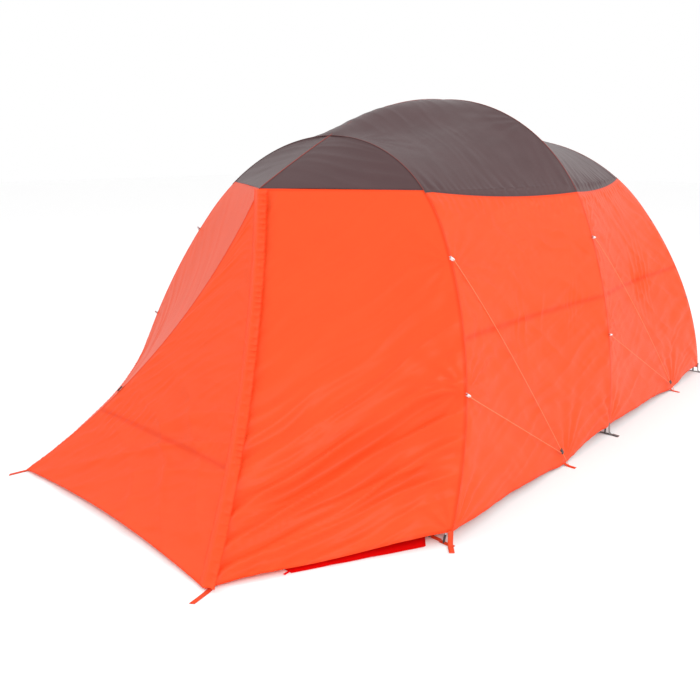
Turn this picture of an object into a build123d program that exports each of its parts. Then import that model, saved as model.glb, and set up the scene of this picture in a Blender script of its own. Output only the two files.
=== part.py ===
"""A three-hoop tunnel tent with a ridge pole, its fly, inner tent and front porch.

Frame: +Z up, the porch door faces -Y, millimetres. The origin is on the ground at the middle of
the tent's box. Right is +X, as seen by someone who faces the door.
"""
from build123d import *
import math
import os

os.makedirs("parts", exist_ok=True)

# Overall layout
foot_half_width = 1377.0
hoop_spacing = 1780.0
porch_depth = 980.0
end_lean = 19.85
brow_reach = 545.0
rear_bulge = 90.0

# Hoop outlines, measured over the fly
middle_height = 2080.0
middle_crown_radius = 1200.0
end_slant_height = 1944.0
end_crown_radius = 1130.0
ridge_end_radius = 10000.0

# Porch door: the lower corner, a point half way up and the brow tip set each curved edge
door_corner_x = 841.0
door_bend_x = 316.0
door_bend_from_hem = 722.0
door_bend_z = 800.0
door_top_drop = 60.0

# Fabric
fabric = 2.0
hem_z = 50.0
roof_line = 1540.0
wall_sag = 72.0
porch_sag = 22.0
edge_sag = 6.0
porch_wall_turn = 37.7
roof_edge_share = 1.4
cap_top_drop = 12.0
rear_lap = 14.0
rear_ease = 1.2
seam_gap = 0.6
tuck_gap = 0.95
inner_inset = 110.0
inner_roof_line = 1350.0
tray_height = 120.0

# Poles
pole_od = 11.0
pole_id = 9.6
sections_per_hoop = 11
section_gap = 0.2
ferrule_length = 100.0
ferrule_clearance = 0.1
ferrule_wall = 0.9
shock_cord = 3.0
ridge_sections = 5
roof_gap = 4.0
crossing_gap = 0.3
tip_length = 34.0
tip_base = 8.0
pin_diameter = 6.0
pin_length = 6.0
pin_clearance = 1.5
tip_plug = 18.0
ridge_end_trim = 42.0
ridge_tip_length = 28.0
ridge_tip_diameter = 13.0
clip_length = 26.0
clip_half_height = 13.5
clip_round = 4.0
clip_clearance = 0.3
tie_clearance = 0.4
tie_wall = 3.0
tie_width = 16.0
inner_tie_angles = (12.0, 32.0, 62.0)
fly_tie_angles = (20.0, 45.0)
fly_tie_slack = 12.0
inner_tie_slack = 3.0

# Zips
zip_half_width = 2.7
zip_gap = 0.6
slider_length = 32.0
slider_width = 8.0
slider_height = 4.0
slider_clearance = 1.6
pull_length = 45.0
pull_width = 8.0
pull_thickness = 1.5
flap_width = 48.0
flap_lift = 20.0
flap_root = 40.0
flap_bottom = 80.0
zip_end_margin = 60.0

# Webbing, stake points and guylines
webbing_width = 25.0
webbing = 2.0
strap_reach = 70.0
strap_inner_reach = 55.0
strap_riser = 70.0
strap_offset = 6.0
stake_hole = 10.0
stake_margin = 16.0
hem_stake_share = 0.65
tab_length = 26.0
tab_width = 3.0
tab_reach = 16.0
tab_lift = 0.9
upper_tab_z = 1240.0
lower_tab_z = 655.0
guyline = 3.0
tensioner_length = 30.0
tensioner_width = 18.0
tensioner_height = 8.0
tensioner_bore_clearance = 0.4
tensioner_to_stake = 120.0
guy_clearance = 0.6
guy_bend_share = 0.3
guy_bow = 60.0
guy_bend_radius = 3000.0
branch_gap = 0.6

# Inner door and porch mat
inner_door_half_width = 560.0
inner_door_bottom = 190.0
inner_door_height = 1100.0
inner_door_gap = 4.0
inner_door_round = 480.0
inner_slider_width = 6.0
mat_front = 345.0
mat_shoulder = 900.0
mat_rear_half_width = 1240.0
mat_edge_inset = 30.0
mat_loop_length = 30.0
mat_loop_width = 15.0
tie_back_z = 450.0
tie_loop_length = 60.0
tie_loop_width = 8.0
toggle_length = 36.0
toggle_diameter = 8.0

# Values worked out from the sizes above
lean = math.radians(end_lean)
front_foot = porch_depth
middle_foot = porch_depth + hoop_spacing
rear_foot = porch_depth + 2 * hoop_spacing
front_tip = -strap_reach
rear_tip = rear_foot + rear_bulge + strap_reach
y_shift = (front_tip + rear_tip) / 2


def export(part, name):
    """Label a finished piece and write its file."""
    part.label = name
    export_step(part, f"parts/{name}.step")


class Arch:
    """A basket-handle arch: two leg arcs, upright at the ground, tangent to one crown arc."""

    def __init__(self, half_width, height, crown_radius):
        self.crown_z = height - crown_radius
        self.crown_radius = crown_radius
        self.leg_radius = (half_width**2 + self.crown_z**2 - crown_radius**2) / (
            2 * (half_width - crown_radius)
        )
        self.leg_x = half_width - self.leg_radius
        self.split = math.degrees(math.atan2(self.crown_z, -self.leg_x))

    def half_width_at(self, height, inset=0.0):
        leg_top = (self.leg_radius - inset) * math.sin(math.radians(self.split))
        if height < leg_top:
            return self.leg_x + math.sqrt((self.leg_radius - inset) ** 2 - height**2)
        return math.sqrt((self.crown_radius - inset) ** 2 - (height - self.crown_z) ** 2)

    def arcs(self, inset=0.0):
        """Centre, radius, start angle and size of each arc, from the right-hand foot over the top."""
        leg = self.leg_radius - inset
        crown = self.crown_radius - inset
        return (
            ((self.leg_x, 0.0), leg, 0.0, self.split),
            ((0.0, self.crown_z), crown, self.split, 180 - 2 * self.split),
            ((-self.leg_x, 0.0), leg, 180 - self.split, self.split),
        )


class Hoop:
    """An arch standing in its own plane, which leans along the tent's length."""

    def __init__(self, name, arch, foot, tilt):
        self.name = name
        self.arch = arch
        self.tilt = tilt
        self.foot_y = foot - y_shift
        self.plane = Plane(
            origin=(0, self.foot_y, 0),
            x_dir=(1, 0, 0),
            z_dir=(0, -math.cos(tilt), math.sin(tilt)),
        )

    def edge(self, z, inset=0.0):
        """Half width and y of the hoop at a height above the ground."""
        return self.arch.half_width_at(z / math.cos(self.tilt), inset), self.y_at(z)

    def y_at(self, z):
        return self.foot_y + z * math.tan(self.tilt)

    def apex(self):
        height = self.arch.crown_z + self.arch.crown_radius
        return self.foot_y + height * math.sin(self.tilt), height * math.cos(self.tilt)

    def pole_inset(self):
        """How far the pole's centre line lies inside the fly, to pass under the ridge pole."""
        slope = ridge_turn if self.tilt else 0.0
        return (ridge_inset + pole_od + crossing_gap) / math.cos(abs(self.tilt) + slope)

    def pole_foot(self):
        return self.arch.leg_x + self.arch.leg_radius - self.pole_inset()


end_arch = Arch(foot_half_width, end_slant_height, end_crown_radius)
middle_arch = Arch(foot_half_width, middle_height, middle_crown_radius)
front_hoop = Hoop("front", end_arch, front_foot, lean)
middle_hoop = Hoop("middle", middle_arch, middle_foot, 0.0)
rear_hoop = Hoop("rear", end_arch, rear_foot, -lean)
hoops = (front_hoop, middle_hoop, rear_hoop)
sides = (("right", 1), ("left", -1))

# Ridge line over the fly: one arc over the three crowns, flatter tips out to the brows
apex_y, apex_z = front_hoop.apex()
middle_y = middle_hoop.foot_y
ridge_half = middle_y - apex_y
ridge_drop = middle_height - apex_z
ridge_radius = (ridge_half**2 + ridge_drop**2) / (2 * ridge_drop)
ridge_turn = math.asin(ridge_half / ridge_radius)
brow_turn = math.asin(math.sin(ridge_turn) + brow_reach / ridge_end_radius)
tip_center_y = apex_y + ridge_end_radius * math.sin(ridge_turn)
tip_center_z = apex_z - ridge_end_radius * math.cos(ridge_turn)
brow_y = apex_y - brow_reach
brow_z = tip_center_z + ridge_end_radius * math.cos(brow_turn)
ridge_inset = fabric + roof_gap + pole_od / 2


def ridge_z(y):
    """Height of the ridge line over the fly."""
    reach = abs(y - middle_y)
    if reach <= ridge_half:
        return middle_height - ridge_radius + math.sqrt(ridge_radius**2 - reach**2)
    run = ridge_end_radius * math.sin(ridge_turn) + reach - ridge_half
    return tip_center_z + math.sqrt(ridge_end_radius**2 - run**2)


def brow_line_y(z):
    """The front ridge tip's y at a height between the brow and the front crown."""
    return tip_center_y - math.sqrt(ridge_end_radius**2 - (z - tip_center_z) ** 2)


# Door edge: a circle through its lower corner, its bend point and the brow tip
hem_y = -y_shift
door_points = (
    Vector(door_corner_x, hem_y, 0),
    Vector(door_bend_x, hem_y + door_bend_from_hem, door_bend_z),
    Vector(0, brow_y, brow_z),
)
door_circle = ThreePointArc(*door_points, mode=Mode.PRIVATE)
door_center = door_circle.arc_center
door_radius = door_circle.radius
door_axis = (door_points[1] - door_points[0]).cross(door_points[2] - door_points[1]).normalized()
edge_u = (door_points[0] - door_center).normalized()
edge_v = door_axis.cross(edge_u)


def door_edge_turn(z):
    """How far round its circle, in radians from the corner, the door edge stands at a height."""
    swing = math.hypot(edge_u.Z, edge_v.Z)
    phase = math.atan2(edge_v.Z, edge_u.Z)
    return phase - math.acos((z - door_center.Z) / (door_radius * swing))


def door_edge(z):
    turn = door_edge_turn(z)
    spot = door_center + edge_u * (door_radius * math.cos(turn)) + edge_v * (door_radius * math.sin(turn))
    return spot.X, spot.Y


def levels(bottom, top, count):
    return [bottom + (top - bottom) * i / (count - 1) for i in range(count)]


def bulge(z, bottom, top, depth):
    """Inward sag of a panel, deepest half way up."""
    return edge_sag + depth * math.sin(math.pi * (z - bottom) / (top - bottom))


def panel(name, heights, first, last, shift, sag, side=1):
    """A cloth panel through flat sections, each from one edge to the other with a sagging arc."""
    with BuildPart() as cloth:
        for z in heights:
            start = Vector(*first(z))
            stop = Vector(*last(z))
            inward = Vector(*shift).normalized() * sag(z)
            middle = (start + stop) * 0.5 + inward
            outer = [Vector(side * p.X, p.Y) for p in (start, middle, stop)]
            inner = [Vector(side * (p.X + shift[0]), p.Y + shift[1]) for p in (start, middle, stop)]
            with BuildSketch(Plane.XY.offset(z)):
                with BuildLine():
                    ThreePointArc(*outer)
                    Line(outer[2], inner[2])
                    ThreePointArc(*reversed(inner))
                    Line(inner[0], outer[0])
                make_face()
        loft()
    export(cloth.part, name)


# Bay walls: each meets its neighbour face to face in a hoop's plane
wall_levels = levels(hem_z, roof_line, 6)
bays = (("front", front_hoop, middle_hoop), ("rear", middle_hoop, rear_hoop))


def wall_end(hoop, z):
    """Where a bay wall ends: at the hoop, or just past the rear hoop, where the rear wall joins it."""
    x, y = hoop.edge(z)
    return x, y + rear_lap if hoop is rear_hoop else y


for bay, first_hoop, last_hoop in bays:
    for side_name, side in sides:
        panel(
            f"{bay}_wall_{side_name}",
            wall_levels,
            first_hoop.edge,
            lambda z: wall_end(last_hoop, z),
            (-fabric, 0),
            lambda z: bulge(z, hem_z, roof_line, wall_sag),
            side,
        )


def roof_section(y, z, half_width, rise, up):
    """An arched strip of roof on a plane that stands on the roof line."""
    normal = Vector(1, 0, 0).cross(up)
    base_step = roof_edge_share * fabric
    with BuildSketch(Plane(origin=(0, y, z), x_dir=(1, 0, 0), z_dir=normal)) as section:
        with BuildLine():
            ThreePointArc((half_width, 0), (0, rise), (-half_width, 0))
            Line((-half_width, 0), (base_step - half_width, 0))
            ThreePointArc((base_step - half_width, 0), (0, rise - fabric), (half_width - base_step, 0))
            Line((half_width - base_step, 0), (half_width, 0))
        make_face()
    return section.sketch


# Bay roofs: lofted along the tent through the two hoops and the middle of the bay
for bay, first_hoop, last_hoop in bays:
    spots = []
    for hoop in (first_hoop, last_hoop):
        half_width, y = hoop.edge(roof_line)
        spots.append((y, half_width, *hoop.apex()))
    middle_top_y = (spots[0][2] + spots[1][2]) / 2
    middle_spot = (
        (spots[0][0] + spots[1][0]) / 2,
        (spots[0][1] + spots[1][1]) / 2 - edge_sag,
        middle_top_y,
        ridge_z(middle_top_y),
    )
    arches = []
    for y, half_width, top_y, top_z in (spots[0], middle_spot, spots[1]):
        up = Vector(0, top_y - y, top_z - roof_line)
        arches.append(roof_section(y, roof_line, half_width, up.length, up.normalized()))
    with BuildPart() as roof:
        loft(sections=arches)
    export(roof.part, f"{bay}_roof")

# Porch and rear end: grey caps over orange sides, tucked just inside the end hoops' cloth
tuck = fabric + tuck_gap
end_top = apex_z - cap_top_drop
cap_levels = levels(brow_z, end_top, 5)
side_levels = levels(hem_z, brow_z - seam_gap, 7)


def mirrored_y(y):
    return 2 * middle_y - y


def front_tuck(z):
    return front_hoop.edge(z, tuck)


def rear_tuck(z):
    return rear_hoop.edge(z, tuck)


def rear_wall_tuck(z):
    x, y = rear_hoop.edge(z, tuck + rear_ease)
    return x, y + rear_lap


def front_ridge(z):
    return 0.0, brow_line_y(z)


def rear_ridge(z):
    return 0.0, mirrored_y(brow_line_y(z))


def rear_seam(z):
    share = z / brow_z
    return 0.0, (rear_hoop.foot_y + rear_bulge) * (1 - share) + mirrored_y(brow_y) * share


porch_out = Vector(math.sin(math.radians(porch_wall_turn)), -math.cos(math.radians(porch_wall_turn)))
porch_shift = (-porch_out.X * fabric, -porch_out.Y * fabric)


def wall_door_edge(z):
    x, y = door_edge(z)
    return x - porch_shift[0] + seam_gap, y


for side_name, side in sides:
    panel(
        f"porch_roof_{side_name}", cap_levels, front_tuck, front_ridge, (0, fabric), lambda z: edge_sag, side
    )
    panel(
        f"rear_cap_{side_name}", cap_levels, rear_tuck, rear_ridge, (0, -fabric), lambda z: edge_sag, side
    )
    panel(
        f"porch_wall_{side_name}",
        side_levels,
        front_tuck,
        wall_door_edge,
        porch_shift,
        lambda z: bulge(z, hem_z, brow_z, porch_sag),
        side,
    )
    panel(
        f"rear_end_wall_{side_name}",
        side_levels,
        rear_wall_tuck,
        rear_seam,
        (0, -fabric),
        lambda z: edge_sag,
        side,
    )

# Porch door: cloth, its half of the zip and the flap that covers the zip
door_top = brow_z - door_top_drop
door_levels = levels(hem_z, door_top, 7)
zip_width = 2 * zip_half_width + zip_gap


def door_side(z, inset):
    x, y = door_edge(z)
    return x - inset, y


panel(
    "front_door",
    door_levels,
    lambda z: door_side(z, zip_width),
    lambda z: (zip_width - door_edge(z)[0], door_edge(z)[1]),
    (0, fabric),
    lambda z: edge_sag,
)


def strip(name, heights, corners, side=1):
    """A narrow upright band through flat sections with these corner points."""
    with BuildPart() as band:
        for z in heights:
            with BuildSketch(Plane.XY.offset(z)):
                with BuildLine():
                    Polyline(*[(side * x, y) for x, y in corners(z)], close=True)
                make_face()
        loft()
    export(band.part, name)


def zip_half(z, near, far):
    x, y = door_edge(z)
    return (x - near, y), (x - far, y), (x - far, y + fabric), (x - near, y + fabric)


def storm_flap(z):
    """From the door's face, out over the zip and on along the porch wall."""
    x, y = door_edge(z)
    reach_x = -porch_out.Y * flap_width
    reach_y = porch_out.X * flap_width
    rise = porch_out * flap_lift
    root = (x - flap_root, y - seam_gap)
    crest = (x + rise.X, y + rise.Y)
    free = (x + rise.X + reach_x, y + rise.Y + reach_y)
    outer = [(px - porch_shift[0], py - porch_shift[1]) for px, py in (free, crest)]
    return root, crest, free, *outer, (root[0], root[1] - fabric)


strip("front_zip_door_side", door_levels, lambda z: zip_half(z, zip_half_width + zip_gap, zip_width))
strip("front_zip_wall_side", door_levels, lambda z: zip_half(z, 0, zip_half_width))
strip("door_storm_flap", levels(flap_bottom, door_top, 7), storm_flap)

# Poles: tube sections in a row along arcs, with a sleeve in each joint and a cord through them all


def cut(arcs, start, stop):
    """The stretch of a row of arcs between two distances along it."""
    passed = 0.0
    for center, radius, angle, size in arcs:
        length = math.radians(size) * radius
        low, high = max(start - passed, 0.0), min(stop - passed, length)
        if high > low:
            yield center, radius, angle + math.degrees(low / radius), math.degrees((high - low) / radius)
        passed += length


def total(arcs):
    return sum(math.radians(size) * radius for _, radius, _, size in arcs)


def spot_on(plane, arcs, distance):
    """The point and heading at a distance along a row of arcs."""
    center, radius, angle, _ = next(cut(arcs, distance, total(arcs)))
    turn = math.radians(angle)
    x, y = center[0] + radius * math.cos(turn), center[1] + radius * math.sin(turn)
    point = plane.from_local_coords((x, y, 0))
    heading = plane.y_dir * math.cos(turn) - plane.x_dir * math.sin(turn)
    return point, heading


def pole_run(plane, arcs, stretches, outer, inner=0.0):
    """Round tubes, or rods, along stretches of a row of arcs, as a list of solids."""
    runs = []
    for start, stop in stretches:
        with BuildPart() as run:
            for center, radius, angle, size in cut(arcs, start, stop):
                turn = math.radians(angle)
                radial = plane.x_dir * math.cos(turn) + plane.y_dir * math.sin(turn)
                hub = plane.from_local_coords((*center, 0))
                heading = plane.z_dir.cross(radial)
                with BuildSketch(Plane(origin=hub + radial * radius, x_dir=radial, z_dir=heading)):
                    Circle(outer / 2)
                    if inner:
                        Circle(inner / 2, mode=Mode.SUBTRACT)
                revolve(axis=Axis(hub, plane.z_dir), revolution_arc=size)
        runs += run.part.solids()
    return runs


def joints_of(first, last, count):
    step = (last - first) / count
    return [first + i * step for i in range(count + 1)]


def pole_set(plane, arcs, marks):
    """Tube sections between these joint distances, and the sleeves inside the joints."""
    half_gap = section_gap / 2
    tubes = [(a + half_gap, b - half_gap) for a, b in zip(marks, marks[1:])]
    sleeves = [(mark - ferrule_length / 2, mark + ferrule_length / 2) for mark in marks[1:-1]]
    sleeve_od = pole_id - 2 * ferrule_clearance
    return (
        pole_run(plane, arcs, tubes, pole_od, pole_id),
        pole_run(plane, arcs, sleeves, sleeve_od, sleeve_od - 2 * ferrule_wall),
    )


ferrules = []
cords = []
for hoop in hoops:
    arcs = hoop.arch.arcs(hoop.pole_inset())
    foot_end = tip_base + tip_length
    marks = joints_of(foot_end, total(arcs) - foot_end, sections_per_hoop)
    tubes, sleeves = pole_set(hoop.plane, arcs, marks)
    export(Compound(children=tubes), f"{hoop.name}_hoop_pole")
    ferrules += sleeves
    cord_end = foot_end + tip_plug + seam_gap
    cords += pole_run(hoop.plane, arcs, [(cord_end, total(arcs) - cord_end)], shock_cord)

ridge_plane = Plane(origin=(0, middle_y, 0), x_dir=(0, 1, 0), z_dir=(1, 0, 0))
turn = math.degrees(ridge_turn)
tip_turn = math.degrees(brow_turn) - turn
tip_center = tip_center_y - middle_y
ridge_arcs = (
    ((-tip_center, tip_center_z), ridge_end_radius - ridge_inset, 90 - turn - tip_turn, tip_turn),
    ((0, middle_height - ridge_radius), ridge_radius - ridge_inset, 90 - turn, 2 * turn),
    ((tip_center, tip_center_z), ridge_end_radius - ridge_inset, 90 + turn, tip_turn),
)
tip_run = math.radians(tip_turn) * (ridge_end_radius - ridge_inset)
ridge_length = total(ridge_arcs)
ridge_marks = [ridge_end_trim, *joints_of(tip_run, ridge_length - tip_run, ridge_sections)]
ridge_marks.append(ridge_length - ridge_end_trim)
tubes, sleeves = pole_set(ridge_plane, ridge_arcs, ridge_marks)
export(Compound(children=tubes), "ridge_pole")
ferrules += sleeves
cord_end = ridge_end_trim + tip_plug + seam_gap
cords += pole_run(ridge_plane, ridge_arcs, [(cord_end, ridge_length - cord_end)], shock_cord)
export(Compound(children=ferrules), "pole_ferrules")
export(Compound(children=cords), "shock_cords")

# Pole tips: a collar under the tube, a plug up into it and a pin down into the foot strap's eyelet
plug_diameter = pole_id - 2 * ferrule_clearance
with BuildPart() as pole_tips:
    for hoop in hoops:
        arcs = hoop.arch.arcs(hoop.pole_inset())
        for distance, sense in ((foot_end, 1), (total(arcs) - foot_end, -1)):
            spot, heading = spot_on(hoop.plane, arcs, distance)
            with BuildSketch(Plane(origin=spot, z_dir=heading * sense)) as top:
                Circle(pole_od / 2)
            extrude(amount=-tip_length)
            with BuildSketch(top.workplanes[0]):
                Circle(plug_diameter / 2)
            extrude(amount=tip_plug)
            with BuildSketch(top.workplanes[0].offset(-tip_length)):
                Circle(pin_diameter / 2)
            extrude(amount=-pin_length)
export(pole_tips.part, "pole_tips")

with BuildPart() as ridge_tips:
    for distance, sense in ((ridge_end_trim, 1), (ridge_length - ridge_end_trim, -1)):
        spot, heading = spot_on(ridge_plane, ridge_arcs, distance)
        with BuildSketch(Plane(origin=spot, z_dir=heading * sense)) as collar:
            Circle(ridge_tip_diameter / 2)
        extrude(amount=-ridge_tip_length)
        with BuildSketch(collar.workplanes[0]):
            Circle(plug_diameter / 2)
        extrude(amount=tip_plug)
export(ridge_tips.part, "ridge_tips")

# Crossing clips: a block at each crown with one bore for the hoop and one for the ridge pole
with BuildPart() as crossing_clips:
    for hoop in hoops:
        crown = hoop.arch.crown_z + hoop.arch.crown_radius - hoop.pole_inset()
        hoop_spot = hoop.plane.from_local_coords((0, crown, 0))
        slope = ridge_turn * (1 if hoop.tilt > 0 else -1) if hoop.tilt else 0.0
        along = Vector(0, math.cos(slope), math.sin(slope))
        out = Vector(0, -math.sin(slope), math.cos(slope))
        depth = (pole_od + crossing_gap) / 2
        middle = hoop_spot + out * depth
        with BuildSketch(Plane(origin=middle - out * clip_half_height, x_dir=(1, 0, 0), z_dir=out)):
            RectangleRounded(clip_length, clip_length, clip_round)
        extrude(amount=2 * clip_half_height)
        bore = pole_od + 2 * clip_clearance
        for spot, direction in ((hoop_spot, Vector(1, 0, 0)), (hoop_spot + out * 2 * depth, along)):
            with BuildSketch(Plane(origin=spot, z_dir=direction)):
                Circle(bore / 2)
            extrude(amount=clip_length, both=True, mode=Mode.SUBTRACT)
export(crossing_clips.part, "crossing_clips")


# Ties on the poles: a ring round the pole with a strap in to the inner tent or out to the fly


def pole_tie(hoop, angle, reach):
    """A ring round the hoop where its normal stands at this angle, with a strap this long inwards."""
    arcs = hoop.arch.arcs(hoop.pole_inset())
    distance = 0.0
    for _, radius, start, size in arcs:
        distance += math.radians(min(max(angle - start, 0.0), size)) * radius
    spot, heading = spot_on(hoop.plane, arcs, distance)
    turn = math.radians(angle)
    inward = hoop.plane.x_dir * -math.cos(turn) - hoop.plane.y_dir * math.sin(turn)
    with BuildPart() as tie:
        with BuildSketch(Plane(origin=spot, x_dir=inward, z_dir=heading)):
            Circle(pole_od / 2 + tie_clearance + tie_wall)
            with Locations((reach / 2, 0)):
                Rectangle(abs(reach), tie_wall)
            Circle(pole_od / 2 + tie_clearance, mode=Mode.SUBTRACT)
        extrude(amount=tie_width / 2, both=True)
    return tie.part.solids()


inner_ties = []
fly_ties = []
for hoop in hoops:
    inner_reach = inner_inset - hoop.pole_inset() - inner_tie_slack
    cloth_inside = fabric + seam_gap + (fly_tie_slack if hoop.tilt else 0.0)
    for angle in inner_tie_angles:
        inner_ties += pole_tie(hoop, angle, inner_reach) + pole_tie(hoop, 180 - angle, inner_reach)
    for angle in fly_tie_angles:
        fly_reach = cloth_inside - hoop.pole_inset()
        fly_ties += pole_tie(hoop, angle, fly_reach) + pole_tie(hoop, 180 - angle, fly_reach)
export(Compound(children=inner_ties), "inner_tent_clips")
export(Compound(children=fly_ties), "fly_pole_ties")

# Guy tabs on the hoop seams, and where each guyline starts


def seam_frame(hoop, z, side):
    """A point on the fly over a hoop at a height, with its outward normal and its upward heading."""
    height = z / math.cos(hoop.tilt)
    x = hoop.arch.half_width_at(height)
    arch = hoop.arch
    on_leg = height < arch.leg_radius * math.sin(math.radians(arch.split))
    turn = math.atan2(height, x - arch.leg_x) if on_leg else math.atan2(height - arch.crown_z, x)
    across = hoop.plane.x_dir * side
    normal = across * math.cos(turn) + hoop.plane.y_dir * math.sin(turn)
    heading = hoop.plane.y_dir * math.cos(turn) - across * math.sin(turn)
    return hoop.plane.from_local_coords((side * x, height, 0)), normal, heading


for side_name, side in sides:
    with BuildPart() as guy_tabs:
        for hoop in hoops:
            for z in (upper_tab_z, lower_tab_z):
                spot, normal, heading = seam_frame(hoop, z, side)
                with BuildSketch(Plane(origin=spot + normal * tab_lift, x_dir=heading, z_dir=normal)):
                    Rectangle(tab_length, tab_width)
                extrude(amount=tab_reach)
    export(guy_tabs.part, f"guy_tabs_{side_name}")

# Foot straps: flat on the ground under each hoop foot, with a riser up the outside of the fly
strap_out = foot_half_width + strap_reach
strap_in = foot_half_width - strap_inner_reach
for side_name, side in sides:
    with BuildPart() as foot_straps:
        for hoop in hoops:
            y = hoop.foot_y + math.copysign(strap_offset, hoop.tilt) * (1 if hoop.tilt else 0)
            with BuildSketch():
                with Locations((side * (strap_in + strap_out) / 2, y)):
                    Rectangle(strap_out - strap_in, webbing_width)
                with Locations((side * hoop.pole_foot(), hoop.foot_y)):
                    Circle(pin_diameter / 2 + pin_clearance, mode=Mode.SUBTRACT)
                with Locations((side * (strap_out - stake_margin), y)):
                    Circle(stake_hole / 2, mode=Mode.SUBTRACT)
            extrude(amount=webbing)
            with BuildSketch(Plane.XY.offset(webbing)):
                with Locations((side * (foot_half_width + seam_gap + webbing / 2), y)):
                    Rectangle(webbing, webbing_width)
            extrude(amount=strap_riser)
    export(foot_straps.part, f"foot_straps_{side_name}")

# Hem loops: between the hoops on each side, at the porch corners and behind the rear seam


def wall_hem_x(first_hoop, last_hoop, share):
    """Half width of a bay wall's hem at a share of the bay's length."""
    first, last = first_hoop.edge(hem_z)[0], last_hoop.edge(hem_z)[0]
    return first + (last - first) * share - edge_sag * 4 * share * (1 - share)


def hem_stake(first_hoop, last_hoop):
    """The stake point of a bay: y of its loop and the hem's half width there."""
    first_y, last_y = first_hoop.edge(hem_z)[1], last_hoop.edge(hem_z)[1]
    y = first_y + (last_y - first_y) * hem_stake_share
    return y, wall_hem_x(first_hoop, last_hoop, hem_stake_share)


for side_name, side in sides:
    with BuildPart() as hem_loops:
        for bay, first_hoop, last_hoop in bays:
            y, x = hem_stake(first_hoop, last_hoop)
            with BuildSketch():
                with Locations((side * (x + strap_out) / 2, y)):
                    Rectangle(strap_out - x, webbing_width)
                with Locations((side * (strap_out - stake_margin), y)):
                    Circle(stake_hole / 2, mode=Mode.SUBTRACT)
            extrude(amount=webbing)
            with BuildSketch(Plane.XY.offset(webbing)):
                with Locations((side * (x + seam_gap + webbing / 2), y)):
                    Rectangle(webbing, webbing_width)
            extrude(amount=strap_riser)
    export(hem_loops.part, f"hem_loops_{side_name}")

corner_x, corner_y = wall_door_edge(hem_z)
foot_x, foot_y = front_tuck(hem_z)
hem_heading = Vector(foot_x - corner_x, foot_y - corner_y).normalized()
hem_normal = Vector(hem_heading.Y, -hem_heading.X)
riser_spot = Vector(corner_x, corner_y) + hem_heading * webbing_width + hem_normal * (seam_gap + webbing / 2)
corner_tip_y = front_tip - y_shift
with BuildPart() as corner_loops:
    for side_name, side in sides:
        with BuildSketch():
            with Locations((side * riser_spot.X, (riser_spot.Y + corner_tip_y) / 2)):
                Rectangle(webbing_width, riser_spot.Y - corner_tip_y)
            with Locations((side * riser_spot.X, corner_tip_y + stake_margin)):
                Circle(stake_hole / 2, mode=Mode.SUBTRACT)
        extrude(amount=webbing)
        tilt = math.degrees(math.atan2(hem_heading.Y, side * hem_heading.X))
        with BuildSketch(Plane.XY.offset(webbing)):
            with Locations(Location((side * riser_spot.X, riser_spot.Y), tilt)):
                Rectangle(webbing_width, webbing)
        extrude(amount=strap_riser)
export(corner_loops.part, "porch_corner_loops")

rear_hem_y = rear_seam(hem_z)[1]
rear_tip_y = rear_tip - y_shift
with BuildPart() as rear_loop:
    with BuildSketch():
        with Locations((0, (rear_hem_y + rear_tip_y) / 2)):
            Rectangle(webbing_width, rear_tip_y - rear_hem_y)
        with Locations((0, rear_tip_y - stake_margin)):
            Circle(stake_hole / 2, mode=Mode.SUBTRACT)
    extrude(amount=webbing)
    with BuildSketch(Plane.XY.offset(webbing)):
        with Locations((0, rear_hem_y + seam_gap + webbing / 2)):
            Rectangle(webbing_width, webbing)
    extrude(amount=strap_riser)
export(rear_loop.part, "rear_hem_loop")

# Zip slider and pull, on the outer face of the zip near its lower end


def zip_frame(z):
    """A point on the zip's outer face, its upward heading and its outward normal."""
    turn = door_edge_turn(z)
    heading = edge_v * math.cos(turn) - edge_u * math.sin(turn)
    x, y = door_edge(z)
    normal = Vector(1, 0, 0).cross(heading).normalized()
    return Vector(x - zip_half_width, y, z), heading, normal


spot, heading, normal = zip_frame(hem_z + zip_end_margin)
slider_plane = Plane(origin=spot + normal * slider_clearance, x_dir=heading, z_dir=normal)
with BuildPart() as zip_slider:
    with BuildSketch(slider_plane):
        RectangleRounded(slider_length, slider_width, slider_width / 3)
    extrude(amount=slider_height)
export(zip_slider.part, "front_zip_slider")

with BuildPart() as zip_pull:
    with BuildSketch(slider_plane):
        with Locations((-(slider_length + pull_length) / 2 - seam_gap, 0)):
            RectangleRounded(pull_length, pull_width, pull_width / 3)
    extrude(amount=pull_thickness)
export(zip_pull.part, "front_zip_pull")

# Guylines: a main line from the upper tab to the hem loop, and a branch from the lower tab


def guy_start(hoop, z, side):
    """Just below the lower end of a tab."""
    spot, normal, heading = seam_frame(hoop, z, side)
    below = tab_length / 2 + seam_gap + guyline / 2
    return spot + normal * (tab_lift + tab_reach - guyline / 2) - heading * below


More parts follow.
